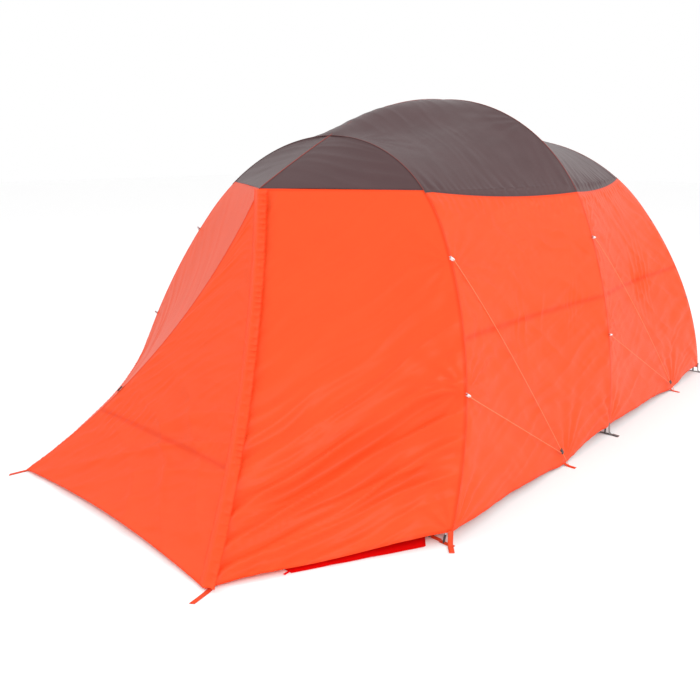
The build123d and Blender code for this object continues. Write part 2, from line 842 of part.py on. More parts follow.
for bay, first_hoop, last_hoop in bays:
    for side_name, side in sides:
        stake_y, _ = hem_stake(first_hoop, last_hoop)
        stake_x = strap_out - 2 * stake_margin - stake_hole
        stake_spot = Vector(side * stake_x, stake_y, webbing + guy_clearance + guyline / 2)
        upper = guy_start(first_hoop, upper_tab_z, side)
        lower = guy_start(first_hoop, lower_tab_z, side)
        bend = upper + (stake_spot - upper) * guy_bend_share + Vector(side * guy_bow, 0, 0)
        run = (stake_spot - bend).normalized()
        grip = stake_spot - run * tensioner_to_stake
        toward = lower - grip
        across = (toward - run * toward.dot(run)).normalized()
        grip_plane = Plane(origin=grip - run * tensioner_length / 2, x_dir=across, z_dir=run)
        branch_end = grip + across * (tensioner_width / 2 + guyline / 2 + branch_gap)
        with BuildPart() as guyline_pair:
            with BuildLine() as main_line:
                FilletPolyline(upper, bend, stake_spot, radius=guy_bend_radius)
            with BuildSketch(Plane(origin=main_line.line @ 0, z_dir=main_line.line % 0)):
                Circle(guyline / 2)
            sweep()
            with BuildSketch(Plane(origin=lower, z_dir=branch_end - lower)):
                Circle(guyline / 2)
            extrude(amount=(branch_end - lower).length)
        export(guyline_pair.part, f"guyline_{bay}_{side_name}")
        with BuildPart() as tensioner:
            with BuildSketch(grip_plane):
                RectangleRounded(tensioner_width, tensioner_height, tensioner_height / 4)
                Circle(guyline / 2 + tensioner_bore_clearance, mode=Mode.SUBTRACT)
            extrude(amount=tensioner_length)
        export(tensioner.part, f"line_tensioner_{bay}_{side_name}")

# Inner tent: a floor tray, side walls, a mesh roof and two end walls in the end hoops' planes


def inner_edge(hoop, z, inset=0.0):
    return hoop.edge(z, inner_inset + inset)


def tray_section(z, inset):
    """Outline of the floor tray at a height, drawn in on all sides by an inset."""
    x, front_y = inner_edge(front_hoop, z)
    rear_y = inner_edge(rear_hoop, z)[1]
    with BuildSketch(Plane.XY.offset(z)) as outline:
        with Locations((0, (front_y + rear_y) / 2)):
            Rectangle(2 * (x - inset), rear_y - front_y - 2 * inset)
    return outline.sketch


with BuildPart() as inner_floor:
    loft(sections=[tray_section(0, 0), tray_section(tray_height, 0)])
    loft(sections=[tray_section(fabric, fabric), tray_section(tray_height, fabric)], mode=Mode.SUBTRACT)
export(inner_floor.part, "inner_floor")

inner_levels = levels(tray_height + seam_gap, inner_roof_line, 6)
for side_name, side in sides:
    panel(
        f"inner_wall_{side_name}",
        inner_levels,
        lambda z: inner_edge(front_hoop, z),
        lambda z: inner_edge(rear_hoop, z),
        (-fabric, 0),
        lambda z: inner_edge(front_hoop, z)[0] - inner_edge(middle_hoop, z)[0],
        side,
    )

arches = []
for hoop in hoops:
    half_width, y = inner_edge(hoop, inner_roof_line)
    top_y, top_z = hoop.apex()
    up = Vector(0, top_y - y, top_z - inner_roof_line)
    rise = up.length - inner_inset
    arches.append(roof_section(y, inner_roof_line + seam_gap, half_width, rise, up.normalized()))
with BuildPart() as inner_roof:
    loft(sections=arches)
export(inner_roof.part, "inner_mesh_roof")

end_inset = inner_inset + 2 * fabric + seam_gap
end_bottom = (tray_height + seam_gap + fabric * math.sin(lean)) / math.cos(lean)


def door_face(inset):
    """The inner door's outline, square at the foot and round at the top, drawn in by an inset."""
    half = inner_door_half_width - inset
    bottom = inner_door_bottom + inset
    top = inner_door_bottom + inner_door_height - inset
    radius = inner_door_round - inset
    with BuildSketch(front_hoop.plane) as outline:
        with BuildLine():
            Polyline((-half, top - radius), (-half, bottom), (half, bottom), (half, top - radius))
            CenterArc((half - radius, top - radius), radius, 0, 90)
            Line((half - radius, top), (radius - half, top))
            CenterArc((radius - half, top - radius), radius, 90, 90)
        make_face()
    return outline.sketch


def end_wall_face(hoop):
    """The outline of an inner end wall, in its hoop's plane."""
    (leg_center, leg, _, split), crown, (far_center, _, far_start, _) = hoop.arch.arcs(end_inset)
    foot_angle = math.degrees(math.asin(end_bottom / leg))
    with BuildSketch(hoop.plane) as outline:
        with BuildLine():
            first = CenterArc(leg_center, leg, foot_angle, split - foot_angle)
            CenterArc(*crown)
            last = CenterArc(far_center, leg, far_start, split - foot_angle)
            Line(last @ 1, first @ 0)
        make_face()
    return outline.sketch


with BuildPart() as inner_front_wall:
    extrude(end_wall_face(front_hoop), amount=-fabric)
    extrude(door_face(0), amount=-fabric, mode=Mode.SUBTRACT)
export(inner_front_wall.part, "inner_front_wall")

with BuildPart() as inner_rear_wall:
    extrude(end_wall_face(rear_hoop), amount=fabric)
export(inner_rear_wall.part, "inner_rear_wall")

with BuildPart() as inner_door:
    extrude(door_face(inner_door_gap), amount=-fabric)
export(inner_door.part, "inner_door")

with BuildPart() as inner_slider:
    with BuildSketch(front_hoop.plane.offset(seam_gap)):
        slider_x = inner_door_half_width + inner_slider_width / 2 - inner_door_gap
        with Locations((slider_x, inner_door_bottom + zip_end_margin)):
            RectangleRounded(inner_slider_width, slider_length, inner_slider_width / 3)
    extrude(amount=slider_height)
export(inner_slider.part, "inner_zip_slider")

# Corner straps from the floor tray out to the foot straps
tray_x = inner_edge(front_hoop, 0)[0]
with BuildPart() as corner_straps:
    for hoop in (front_hoop, rear_hoop):
        y = hoop.foot_y + math.copysign(webbing_width / 2, hoop.tilt)
        for side_name, side in sides:
            with BuildSketch():
                with Locations((side * (tray_x + strap_in) / 2, y)):
                    Rectangle(strap_in - tray_x - seam_gap, webbing_width)
            extrude(amount=webbing)
export(corner_straps.part, "inner_corner_straps")

# Porch mat: follows the porch hem and has a small loop at each front corner
hem_slope = (foot_half_width - door_corner_x) / porch_depth
mat_front_y = mat_front - y_shift
with BuildPart() as porch_mat:
    with BuildSketch():
        half_points = [
            (door_corner_x + hem_slope * mat_front - mat_edge_inset, mat_front_y),
            (door_corner_x + hem_slope * mat_shoulder - mat_edge_inset, mat_shoulder - y_shift),
            (mat_rear_half_width, front_hoop.foot_y - seam_gap),
        ]
        with BuildLine():
            Polyline(*half_points, *[(-x, y) for x, y in reversed(half_points)], close=True)
        make_face()
        for side_name, side in sides:
            with Locations((side * (half_points[0][0] - mat_loop_width), mat_front_y)):
                Rectangle(mat_loop_width, 2 * mat_loop_length)
    extrude(amount=webbing)
export(porch_mat.part, "porch_mat")

# Tie-back for the opened door, on the seam opposite the zip
turn = door_edge_turn(tie_back_z)
seam_heading = edge_v * math.cos(turn) - edge_u * math.sin(turn)
edge_x, edge_y = wall_door_edge(tie_back_z)
wall_out = Vector(-porch_shift[0], -porch_shift[1], 0)
wall_normal = (wall_out - seam_heading * wall_out.dot(seam_heading)).normalized()
tie_spot = Vector(edge_x, edge_y, tie_back_z) + wall_normal * seam_gap


def mirrored(vector):
    return Vector(-vector.X, vector.Y, vector.Z)


tie_plane = Plane(
    origin=mirrored(tie_spot), x_dir=mirrored(seam_heading), z_dir=mirrored(wall_normal)
)
with BuildPart() as tie_loop:
    with BuildSketch(tie_plane):
        Rectangle(tie_loop_length, tie_loop_width)
    extrude(amount=webbing)
export(tie_loop.part, "door_tie_loop")

toggle_lift = webbing + seam_gap + toggle_diameter / 2
toggle_spot = tie_plane.from_local_coords((0, 0, toggle_lift))
with BuildPart() as toggle:
    with BuildSketch(Plane(origin=toggle_spot, z_dir=tie_plane.x_dir)):
        Circle(toggle_diameter / 2)
    extrude(amount=toggle_length / 2, both=True)
    fillet(toggle.edges(), toggle_diameter / 4)
export(toggle.part, "door_tie_toggle")
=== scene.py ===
import math
import bpy
import numpy as np
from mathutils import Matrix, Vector


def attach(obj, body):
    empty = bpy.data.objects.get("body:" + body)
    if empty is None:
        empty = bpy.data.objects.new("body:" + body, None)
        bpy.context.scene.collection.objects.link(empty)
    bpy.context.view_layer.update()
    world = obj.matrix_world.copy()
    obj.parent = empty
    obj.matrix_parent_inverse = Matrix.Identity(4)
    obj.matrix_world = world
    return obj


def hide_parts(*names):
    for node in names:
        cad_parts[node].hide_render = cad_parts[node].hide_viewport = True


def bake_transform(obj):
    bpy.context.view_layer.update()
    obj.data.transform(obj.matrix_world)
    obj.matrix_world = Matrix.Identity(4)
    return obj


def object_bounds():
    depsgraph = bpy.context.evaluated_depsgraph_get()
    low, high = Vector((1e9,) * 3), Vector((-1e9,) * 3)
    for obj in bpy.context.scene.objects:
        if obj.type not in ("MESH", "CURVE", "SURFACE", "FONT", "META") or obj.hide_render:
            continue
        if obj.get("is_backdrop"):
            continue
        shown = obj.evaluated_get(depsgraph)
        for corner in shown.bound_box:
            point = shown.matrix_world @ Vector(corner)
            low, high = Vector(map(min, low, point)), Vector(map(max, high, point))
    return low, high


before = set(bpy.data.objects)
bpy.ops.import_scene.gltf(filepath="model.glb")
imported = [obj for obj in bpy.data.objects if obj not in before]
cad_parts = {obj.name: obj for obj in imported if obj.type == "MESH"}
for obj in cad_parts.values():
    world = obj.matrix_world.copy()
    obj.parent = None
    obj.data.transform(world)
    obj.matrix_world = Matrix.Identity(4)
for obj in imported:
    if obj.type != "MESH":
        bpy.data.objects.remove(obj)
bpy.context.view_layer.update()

# Sizes of the tent, in metres, as in the part's source
FOOT = 1.377  # half the width at the ground
PORCH, SPACING, LEAN = 0.98, 1.78, math.radians(19.85)  # porch depth, hoop spacing, lean of the end hoops
END_TOP, END_CROWN = 1.944, 1.13  # length of an end hoop's plane, and the radius at its crown
MIDDLE_TOP, MIDDLE_CROWN = 2.08, 1.2
CORNER, BROW_REACH = 0.841, 0.545  # half the width of the porch door, and the ridge's reach past the end hoop
SHIFT = 2.315  # from the porch hem to the origin
HEM, ROOF_LINE, TUCK = 0.05, 1.54, 0.00295  # fly: hem and roof seam heights, and its inset on a hoop
UPPER_TAB, LOWER_TAB = 1.24, 0.655  # guy tab heights
STAKE_SHARE = 0.65  # place of the hem loop along a bay
WALL_SEAM, DOOR_SEAM = 0.885, 0.342  # heights of the level seams in the walls and the door
REAR_LAP = 0.014  # how far the rear cloth stands behind the rear hoop
WALL_SAG, PORCH_SAG, EDGE_SAG, ROOF_SAG = 0.072, 0.022, 0.006, 0.055  # how deep each cloth hangs in
INSET, INNER_TOP, TRAY = 0.11, 1.35, 0.12  # inner tent: gap to the poles, top of its walls, tray height
STRAP_OUT, WEB, BAND = FOOT + 0.07, 0.002, 0.025  # webbing: its reach, thickness and width
SEAM_GAP = 0.0006


class Arch:
    """A hoop in its own plane: a crown arc on two leg arcs that meet the ground."""

    def __init__(self, half, height, crown):
        self.cz, self.cr = height - crown, crown
        self.lr = (half**2 + self.cz**2 - crown**2) / (2 * (half - crown))
        self.lx = half - self.lr
        self.split = math.atan2(self.cz, -self.lx)

    def half(self, h, inset=0.0):
        h = np.asarray(h, float)
        leg, crown = self.lr - inset, self.cr - inset
        low = self.lx + np.sqrt(np.maximum(leg**2 - h**2, 0))
        high = np.sqrt(np.maximum(crown**2 - (h - self.cz) ** 2, 0))
        return np.where(h < leg * math.sin(self.split), low, high)


class Hoop:
    """An arch that stands on the ground and leans along the tent."""

    def __init__(self, arch, foot, tilt):
        self.arch, self.tilt, self.y0 = arch, tilt, foot - SHIFT

    def edge(self, z, inset=0.0):
        z = np.asarray(z, float)
        return self.arch.half(z / math.cos(self.tilt), inset), self.y0 + z * math.tan(self.tilt)

    def apex(self):
        h = self.arch.cz + self.arch.cr
        return self.y0 + h * math.sin(self.tilt), h * math.cos(self.tilt)

    def frame_at(self, z, side):
        """The point at height z on one side, the way out from the hoop there, and the way up along it."""
        h = z / math.cos(self.tilt)
        x = float(self.arch.half(h))
        on_leg = h < self.arch.lr * math.sin(self.arch.split)
        turn = math.atan2(h, x - self.arch.lx) if on_leg else math.atan2(h - self.arch.cz, x)
        up = np.array([0, math.sin(self.tilt), math.cos(self.tilt)])
        out = np.array([side, 0, 0])
        normal = out * math.cos(turn) + up * math.sin(turn)
        heading = up * math.cos(turn) - out * math.sin(turn)
        return np.array([side * x, self.y0, 0]) + up * h, normal, heading


end_arch, mid_arch = Arch(FOOT, END_TOP, END_CROWN), Arch(FOOT, MIDDLE_TOP, MIDDLE_CROWN)
front = Hoop(end_arch, PORCH, LEAN)
middle = Hoop(mid_arch, PORCH + SPACING, 0.0)
rear = Hoop(end_arch, PORCH + 2 * SPACING, -LEAN)
hoops = (("front", front), ("middle", middle), ("rear", rear))
sides = (("right", 1), ("left", -1))
apex_y, apex_z = front.apex()

# The ridge is an arc over the three hoops, with a flatter arc down to each brow tip
ridge_half, ridge_drop = middle.y0 - apex_y, MIDDLE_TOP - apex_z
ridge_r = (ridge_half**2 + ridge_drop**2) / (2 * ridge_drop)
ridge_turn = math.asin(ridge_half / ridge_r)
tip_r = 10.0
tip_y, tip_z = apex_y + tip_r * math.sin(ridge_turn), apex_z - tip_r * math.cos(ridge_turn)
brow_y = apex_y - BROW_REACH
brow_z = tip_z + tip_r * math.cos(math.asin(math.sin(ridge_turn) + BROW_REACH / tip_r))


def ridge_z(y):
    """Height of the ridge."""
    reach = np.abs(np.asarray(y, float) - middle.y0)
    run = tip_r * math.sin(ridge_turn) + reach - ridge_half
    inside = MIDDLE_TOP - ridge_r + np.sqrt(ridge_r**2 - np.minimum(reach, ridge_half) ** 2)
    return np.where(reach <= ridge_half, inside, tip_z + np.sqrt(tip_r**2 - run**2))


def brow_line(z):
    """Place along the tent where the porch ridge has height z."""
    return tip_y - np.sqrt(tip_r**2 - (np.asarray(z, float) - tip_z) ** 2)


# The door edge's circle through its corner, its bend and the brow tip
door_a = np.array([CORNER, -SHIFT, 0.0])
door_b = np.array([0.316, 0.722 - SHIFT, 0.8])
door_t = np.array([0.0, brow_y, brow_z])
ab, ac = door_b - door_a, door_t - door_a
axis = np.cross(ab, ac)
door_o = door_a + np.cross(ab.dot(ab) * ac - ac.dot(ac) * ab, axis) / (2 * axis.dot(axis))
door_r = np.linalg.norm(door_a - door_o)
axis = axis / np.linalg.norm(axis)
door_u = (door_a - door_o) / door_r
door_v = np.cross(axis, door_u)
door_top = brow_z - 0.06


def door_edge(z):
    """Place of the door's zip edge at height z."""
    z = np.asarray(z, float)
    phase = math.atan2(door_v[2], door_u[2])
    turn = phase - np.arccos(np.clip((z - door_o[2]) / (door_r * math.hypot(door_u[2], door_v[2])), -1, 1))
    spot = door_o + door_r * (np.cos(turn)[..., None] * door_u + np.sin(turn)[..., None] * door_v)
    return spot[..., 0], spot[..., 1]


# Folds of the cloth
def noise(x, y, seed):
    """Smooth noise from -1 to 1, one value per unit, the same in every run."""

    def value(i, j):
        n = (i * 374761393 + j * 668265263 + seed * 982451653) & 0x7FFFFFFF
        n = ((n ^ (n >> 13)) * 1274126177) & 0x7FFFFFFF
        return ((n ^ (n >> 16)) & 0xFFFF) / 32768.0 - 1.0

    i, j = np.floor(x).astype(np.int64), np.floor(y).astype(np.int64)
    fx, fy = x - i, y - j
    fx, fy = fx * fx * (3 - 2 * fx), fy * fy * (3 - 2 * fy)
    low = value(i, j) * (1 - fx) + value(i + 1, j) * fx
    high = value(i, j + 1) * (1 - fx) + value(i + 1, j + 1) * fx
    return low * (1 - fy) + high * fy


def crumple(s, t, seed, angle=0.0, long=0.35, short=0.09):
    """Soft creases along an angle in degrees, of a length and a spacing in metres, from about -1 to 1."""
    c, n = math.cos(math.radians(angle)), math.sin(math.radians(angle))
    a, b = s * c + t * n, t * c - s * n
    b = b + 0.04 * noise(a / 0.3, b / 0.3, seed + 5)
    one = 1 - 2 * np.abs(noise(a / long, b / short, seed))
    two = 1 - 2 * np.abs(noise(a / long * 2.1, b / short * 2.1, seed + 1))
    return 0.65 * one + 0.35 * two


def fan(s, t, at, heading, count, amp, reach, spread, phase=0.0):
    """Tension folds that spread out from a point around a heading in degrees."""
    ds, dt = s - at[0], t - at[1]
    r = np.hypot(ds, dt)
    turn = np.arctan2(dt, ds) - math.radians(heading)
    turn = np.arctan2(np.sin(turn), np.cos(turn))
    wave = np.cos(count * turn + phase + 0.6 * noise(s / 0.2, t / 0.2, count))
    fade = np.exp(-((r / reach) ** 1.2)) * (1 - np.exp(-r / 0.05))
    return amp * wave * fade * np.exp(-((turn / spread) ** 2))


def drape(s, t, start, stop, wave, amp, width, seed):
    """Long folds side by side along a line."""
    d = np.array(stop) - np.array(start)
    length = math.hypot(*d)
    d = d / length
    a = ((s - start[0]) * d[0] + (t - start[1]) * d[1]) / length
    b = (t - start[1]) * d[0] - (s - start[0]) * d[1]
    b = b + 0.035 * noise(s / 0.25, t / 0.25, seed) + 0.05 * (a - 0.5) ** 2
    ridge = np.abs(np.sin(math.pi * b / wave))
    fold = 1 - 2 * ridge**0.75
    along = np.clip(a, 0, 1)
    return amp * fold * np.exp(-((b / width) ** 2)) * np.sin(math.pi * (0.08 + 0.84 * along)) ** 0.7


def smooth(x, low, high):
    """A soft step from 0 at low to 1 at high."""
    k = np.clip((x - low) / (high - low), 0, 1)
    return k * k * (3 - 2 * k)


# Cloth pieces from grids of points
def lengths(grid):
    """The longest run along each direction of a grid."""
    along = np.linalg.norm(np.diff(grid, axis=0), axis=2).sum(0).max()
    up = np.linalg.norm(np.diff(grid, axis=1), axis=2).sum(1).max()
    return float(along), float(up)


def area_of(grid):
    p, q = grid[1:, 1:] - grid[:-1, :-1], grid[1:, :-1] - grid[:-1, 1:]
    return float(np.linalg.norm(np.cross(p, q), axis=2).sum() / 2)


def metres(grid):
    """Distances along the two directions of a grid, from its first row and column."""
    along = np.linalg.norm(np.diff(grid, axis=0), axis=2).cumsum(0)
    up = np.linalg.norm(np.diff(grid, axis=1), axis=2).cumsum(1)
    s = np.concatenate([np.zeros((1, grid.shape[1])), along])
    t = np.concatenate([np.zeros((grid.shape[0], 1)), up], 1)
    return s, t


def normals(grid, outward):
    """Unit normals of a grid, on the side that outward points to."""
    du, dv = np.gradient(grid, axis=0), np.gradient(grid, axis=1)
    n = np.cross(du, dv)
    n /= np.maximum(np.linalg.norm(n, axis=2, keepdims=True), 1e-9)
    flip = np.sign((n * np.asarray(outward, float)).sum())
    return n * (flip if flip else 1)


def grid_mesh(name, grid, material, marks=None):
    """A smooth mesh with cloth distances as its UV and seam marks as an attribute."""
    nu, nv = grid.shape[:2]
    index = np.arange(nu * nv).reshape(nu, nv)
    quads = np.stack([index[:-1, :-1], index[1:, :-1], index[1:, 1:], index[:-1, 1:]], -1).reshape(-1, 4)
    mesh = bpy.data.meshes.new(name)
    mesh.from_pydata(grid.reshape(-1, 3).tolist(), [], quads.tolist())
    mesh.polygons.foreach_set("use_smooth", np.ones(len(quads), bool))
    s, t = metres(grid)
    flat = np.stack([s, t], -1).reshape(-1, 2)
    loops = np.zeros(len(mesh.loops), np.int32)
    mesh.loops.foreach_get("vertex_index", loops)
    mesh.uv_layers.new(name="cloth").data.foreach_set("uv", flat[loops].astype(np.float32).ravel())
    seam = np.zeros(nu * nv) if marks is None else np.asarray(marks, float).ravel()
    mesh.attributes.new("seam", "FLOAT", "POINT").data.foreach_set("value", seam.astype(np.float32))
    mesh.materials.append(material)
    obj = bpy.data.objects.new(name, mesh)
    bpy.context.scene.collection.objects.link(obj)
    return obj


def edge_marks(grid, width=0.011, which=(1, 1, 1, 1)):
    """How near each point is to a stitched edge, from 0 to 1."""
    s, t = metres(grid)
    gaps = (s, s[-1:] - s, t, t[:, -1:] - t)
    near = np.minimum.reduce([np.where(w, g, 9.0) for g, w in zip(gaps, which)])
    return 1 - smooth(near, width * 0.7, width * 1.3)


def sewn(grid, pinned=(1, 1, 1, 1), reach=0.05):
    """Holds the folds off sewn edges."""
    s, t = metres(grid)
    hold = np.ones(s.shape)
    for gap, pin in zip((s, s[-1:] - s, t, t[:, -1:] - t), pinned):
        if pin:
            hold = hold * smooth(gap, -0.004, reach)
    return hold


def cloth(
    name,
    grid,
    fold,
    outward,
    material,
    nodes,
    body="tent",
    pinned=(1, 1, 0, 1),
    marks=None,
    blend=None,
):
    area, size = area_of(grid), lengths(grid)
    s, t = metres(grid)
    shaped = grid
    if fold is not None:
        shaped = grid + normals(grid, outward) * (fold(s, t) * sewn(grid, pinned))[..., None]
    obj = grid_mesh(name, shaped, material, edge_marks(grid) if marks is None else marks)
    if blend:
        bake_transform(obj)
    else:
        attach(obj, body)
    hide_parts(*nodes)
    if min(size) > 0.012:
        min(area, size[0] * size[1])
    return obj


# Materials
def cloth_material(
    name,
    colour,
    through=0.3,
    rough=0.38,
    weave=260.0,
    vary=0.06,
    seam_shade=(0.84, 0.84, 0.84),
):
    """Woven cloth that lets some light through and darkens where the mesh is marked as a seam."""
    m = bpy.data.materials.new(name)
    m.use_nodes = True
    nodes, links = m.node_tree.nodes, m.node_tree.links
    nodes.clear()
    out = nodes.new("ShaderNodeOutputMaterial")
    face = nodes.new("ShaderNodeBsdfPrincipled")
    face.inputs["Roughness"].default_value = rough
    face.inputs["Specular IOR Level"].default_value = 0.16
    thin = nodes.new("ShaderNodeBsdfTranslucent")
    mix = nodes.new("ShaderNodeMixShader")
    mix.inputs[0].default_value = through
    coord = nodes.new("ShaderNodeTexCoord")
    cloud = nodes.new("ShaderNodeTexNoise")
    cloud.inputs["Scale"].default_value = 5.0
    cloud.inputs["Detail"].default_value = 3.0
    seam = nodes.new("ShaderNodeAttribute")
    seam.attribute_name = "seam"
    base = nodes.new("ShaderNodeMix")
    base.data_type = "RGBA"
    base.inputs["A"].default_value = (*[c * (1 - vary) for c in colour], 1)
    base.inputs["B"].default_value = (*[min(1, c * (1 + vary)) for c in colour], 1)
    dark = nodes.new("ShaderNodeMix")
    dark.data_type = "RGBA"
    dark.blend_type = "MULTIPLY"
    dark.inputs["B"].default_value = (*seam_shade, 1)
    wave_a, wave_b = nodes.new("ShaderNodeTexWave"), nodes.new("ShaderNodeTexWave")
    wave_b.bands_direction = "Y"
    for w in (wave_a, wave_b):
        w.inputs["Scale"].default_value = weave
        links.new(coord.outputs["UV"], w.inputs["Vector"])
    both = nodes.new("ShaderNodeMath")
    both.operation = "MAXIMUM"
    bump = nodes.new("ShaderNodeBump")
    bump.inputs["Strength"].default_value = 0.12
    bump.inputs["Distance"].default_value = 0.0006
    links.new(coord.outputs["UV"], cloud.inputs["Vector"])
    links.new(cloud.outputs["Fac"], base.inputs["Factor"])
    links.new(base.outputs["Result"], dark.inputs["A"])
    links.new(seam.outputs["Fac"], dark.inputs["Factor"])
    links.new(wave_a.outputs["Fac"], both.inputs[0])
    links.new(wave_b.outputs["Fac"], both.inputs[1])
    links.new(both.outputs[0], bump.inputs["Height"])
    links.new(bump.outputs["Normal"], face.inputs["Normal"])
    links.new(dark.outputs["Result"], face.inputs["Base Color"])
    links.new(dark.outputs["Result"], thin.inputs["Color"])
    links.new(face.outputs[0], mix.inputs[1])
    links.new(thin.outputs[0], mix.inputs[2])
    links.new(mix.outputs[0], out.inputs["Surface"])
    return m


def hard_material(name, colour, metal=0.0, rough=0.4):
    m = bpy.data.materials.new(name)
    m.use_nodes = True
    face = m.node_tree.nodes["Principled BSDF"]
    face.inputs["Base Color"].default_value = (*colour, 1)
    face.inputs["Metallic"].default_value = metal
    face.inputs["Roughness"].default_value = rough
    return m


orange_seam = (0.93, 0.66, 0.55)
orange = cloth_material("fly_orange", (0.97, 0.094, 0.022), through=0.22, seam_shade=orange_seam)
grey_seam = (0.85, 0.85, 0.85)
grey = cloth_material("fly_grey", (0.088, 0.050, 0.052), through=0.08, vary=0.10, seam_shade=grey_seam)
band = cloth_material("webbing_orange", (0.78, 0.075, 0.025), through=0.05, weave=420, rough=0.7)
band_grey = cloth_material("webbing_grey", (0.22, 0.19, 0.19), through=0.05, weave=420, rough=0.7)
white = cloth_material("reflective", (0.82, 0.82, 0.84), through=0.02, weave=400, rough=0.35)
inner = cloth_material("inner_grey", (0.20, 0.175, 0.17), through=0.25)
mesh_cloth = cloth_material("inner_mesh", (0.26, 0.24, 0.24), through=0.45, weave=700)
tray = cloth_material("floor_grey", (0.10, 0.09, 0.095), through=0.03)
red = cloth_material("mat_red", (0.98, 0.005, 0.005), through=0.05)
piping = cloth_material("piping", (0.24, 0.048, 0.04), through=0.02, weave=420)
alloy = hard_material("alloy", (0.62, 0.63, 0.65), 1.0, 0.3)
black = hard_material("dark_plastic", (0.03, 0.03, 0.033), 0.0, 0.45)
steel = hard_material("zip_metal", (0.5, 0.5, 0.52), 1.0, 0.3)
coil = hard_material("zip_orange", (0.62, 0.06, 0.02), 0.0, 0.6)
cord_skin = cloth_material("guyline_cord", (0.95, 0.24, 0.12), through=0.0, weave=900, rough=0.7)
elastic = hard_material("elastic", (0.04, 0.04, 0.045), 0.0, 0.8)
poles = ("front_hoop_pole", "middle_hoop_pole", "rear_hoop_pole", "ridge_pole", "pole_ferrules")
fittings = ("pole_tips", "ridge_tips", "crossing_clips")
fittings += ("inner_tent_clips", "fly_pole_ties", "door_tie_toggle")
corners = [f"{end}_{side}" for end in ("front", "rear") for side in ("right", "left")]
tensioners = tuple(f"line_tensioner_{corner}" for corner in corners)
zip_metal = ("front_zip_slider", "front_zip_pull", "inner_zip_slider")
for names, material in (
    (poles, alloy),
    (fittings + tensioners, black),
    (zip_metal, steel),
    (("front_zip_wall_side",), coil),
    (("shock_cords",), elastic),
):
    for name in names:
        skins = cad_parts[name].data.materials
        skins.clear()
        skins.append(material)


# Side walls of the two bays
def wall_surface(first, last, side, lap=0.0):
    """The wall between two hoops, drawn in between them."""

    def at(u, z):
        x1, y1 = first.edge(z)
        x2, y2 = last.edge(z)
        y2 = y2 + lap
        sag = EDGE_SAG + WALL_SAG * np.sin(math.pi * np.clip((z - HEM) / (ROOF_LINE - HEM), 0, 1))
        x = x1 + (x2 - x1) * u - sag * 4 * u * (1 - u)
        return np.stack([side * x, y1 + (y2 - y1) * u, z], -1)

    return at


def seam_height(u, ends):
    """Height of the roof seam, by its heights at the first hoop, halfway and at the last hoop."""
    return ends[0] * (1 - u) * (1 - 2 * u) + ends[1] * 4 * u * (1 - u) + ends[2] * u * (2 * u - 1)


def hem_height(u):
    """The hem is drawn down at its stake loop."""
    return 0.062 - 0.036 * np.exp(-(((u - STAKE_SHARE) / 0.13) ** 2)) - 0.016 * np.sin(math.pi * u) ** 2


# Each bay: its hoops, its lap behind the last one, and the roof seam's heights
bays = (
    ("front", front, middle, 0.0, (1.545, 1.497, 1.502)),
    ("rear", middle, rear, REAR_LAP, (1.502, 1.497, 1.545)),
)
for bay, first, last, lap, ends in bays:
    for side_name, side in sides:
        at = wall_surface(first, last, side, lap)
        u, v = np.meshgrid(np.linspace(0, 1, 150), np.linspace(0, 1, 160), indexing="ij")
        z = hem_height(u) + (seam_height(u, ends) - hem_height(u)) * v
        grid = at(u, z)
        seed = 11 if bay == "front" else 37
        seam_z = WALL_SEAM - 0.02 * np.sin(math.pi * u)

        def wall_fold(s, t, z=z, seed=seed, seam_z=seam_z):
            wide = s.max()
            d = 0.0065 * crumple(s, t, seed, 18, 0.5, 0.11) + 0.0055 * crumple(s, t, seed + 3, -35, 0.4, 0.09)
            for u0 in (0.0, 1.0):
                for height in (UPPER_TAB, LOWER_TAB):
                    d = d + fan(s, t, (u0 * wide, height), 180 * u0, 15, 0.007, 0.35, 1.1, height)
            d = d + fan(s, t, (STAKE_SHARE * wide, 0.0), 90, 13, 0.007, 0.35, 0.9)
            d = d + fan(s, t, (0.0, 0.0), 45, 13, 0.008, 0.3, 0.7)
            d = d + fan(s, t, (wide, 0.0), 135, 13, 0.008, 0.3, 0.7)
            d = d + drape(s, t, (0.05, 1.3), (0.9 * wide, 0.2), 0.16, 0.004, 0.25, seed + 7)
            below_roof = z.max(1, keepdims=True) - z
            ripple = np.sin(2 * math.pi * (s + 0.02 * noise(s / 0.1, t / 0.4, seed)) / 0.052)
            d = d + 0.0035 * ripple * np.exp(-below_roof / 0.05)
            patch = np.clip(0.35 + noise(s / 0.16, t / 0.9, seed + 9), 0, 1)
            slant = s + 0.12 * t * noise(s / 0.3, 0 * t, seed)
            crease = 1 - 2 * np.abs(np.sin(math.pi * slant / 0.06)) ** 0.7
            d = d + 0.011 * crease * patch * np.exp(-np.abs(z - seam_z) / 0.11)
            return d - 0.004 * np.exp(-(((z - seam_z) / 0.014) ** 2))

        cloth(
            f"{bay}_wall_{side_name}_cloth",
            grid,
            wall_fold,
            (side, 0, 0),
            orange,
            [f"{bay}_wall_{side_name}"],
            marks=np.maximum(edge_marks(grid), np.exp(-(((z - seam_z) / 0.013) ** 2))),
        )

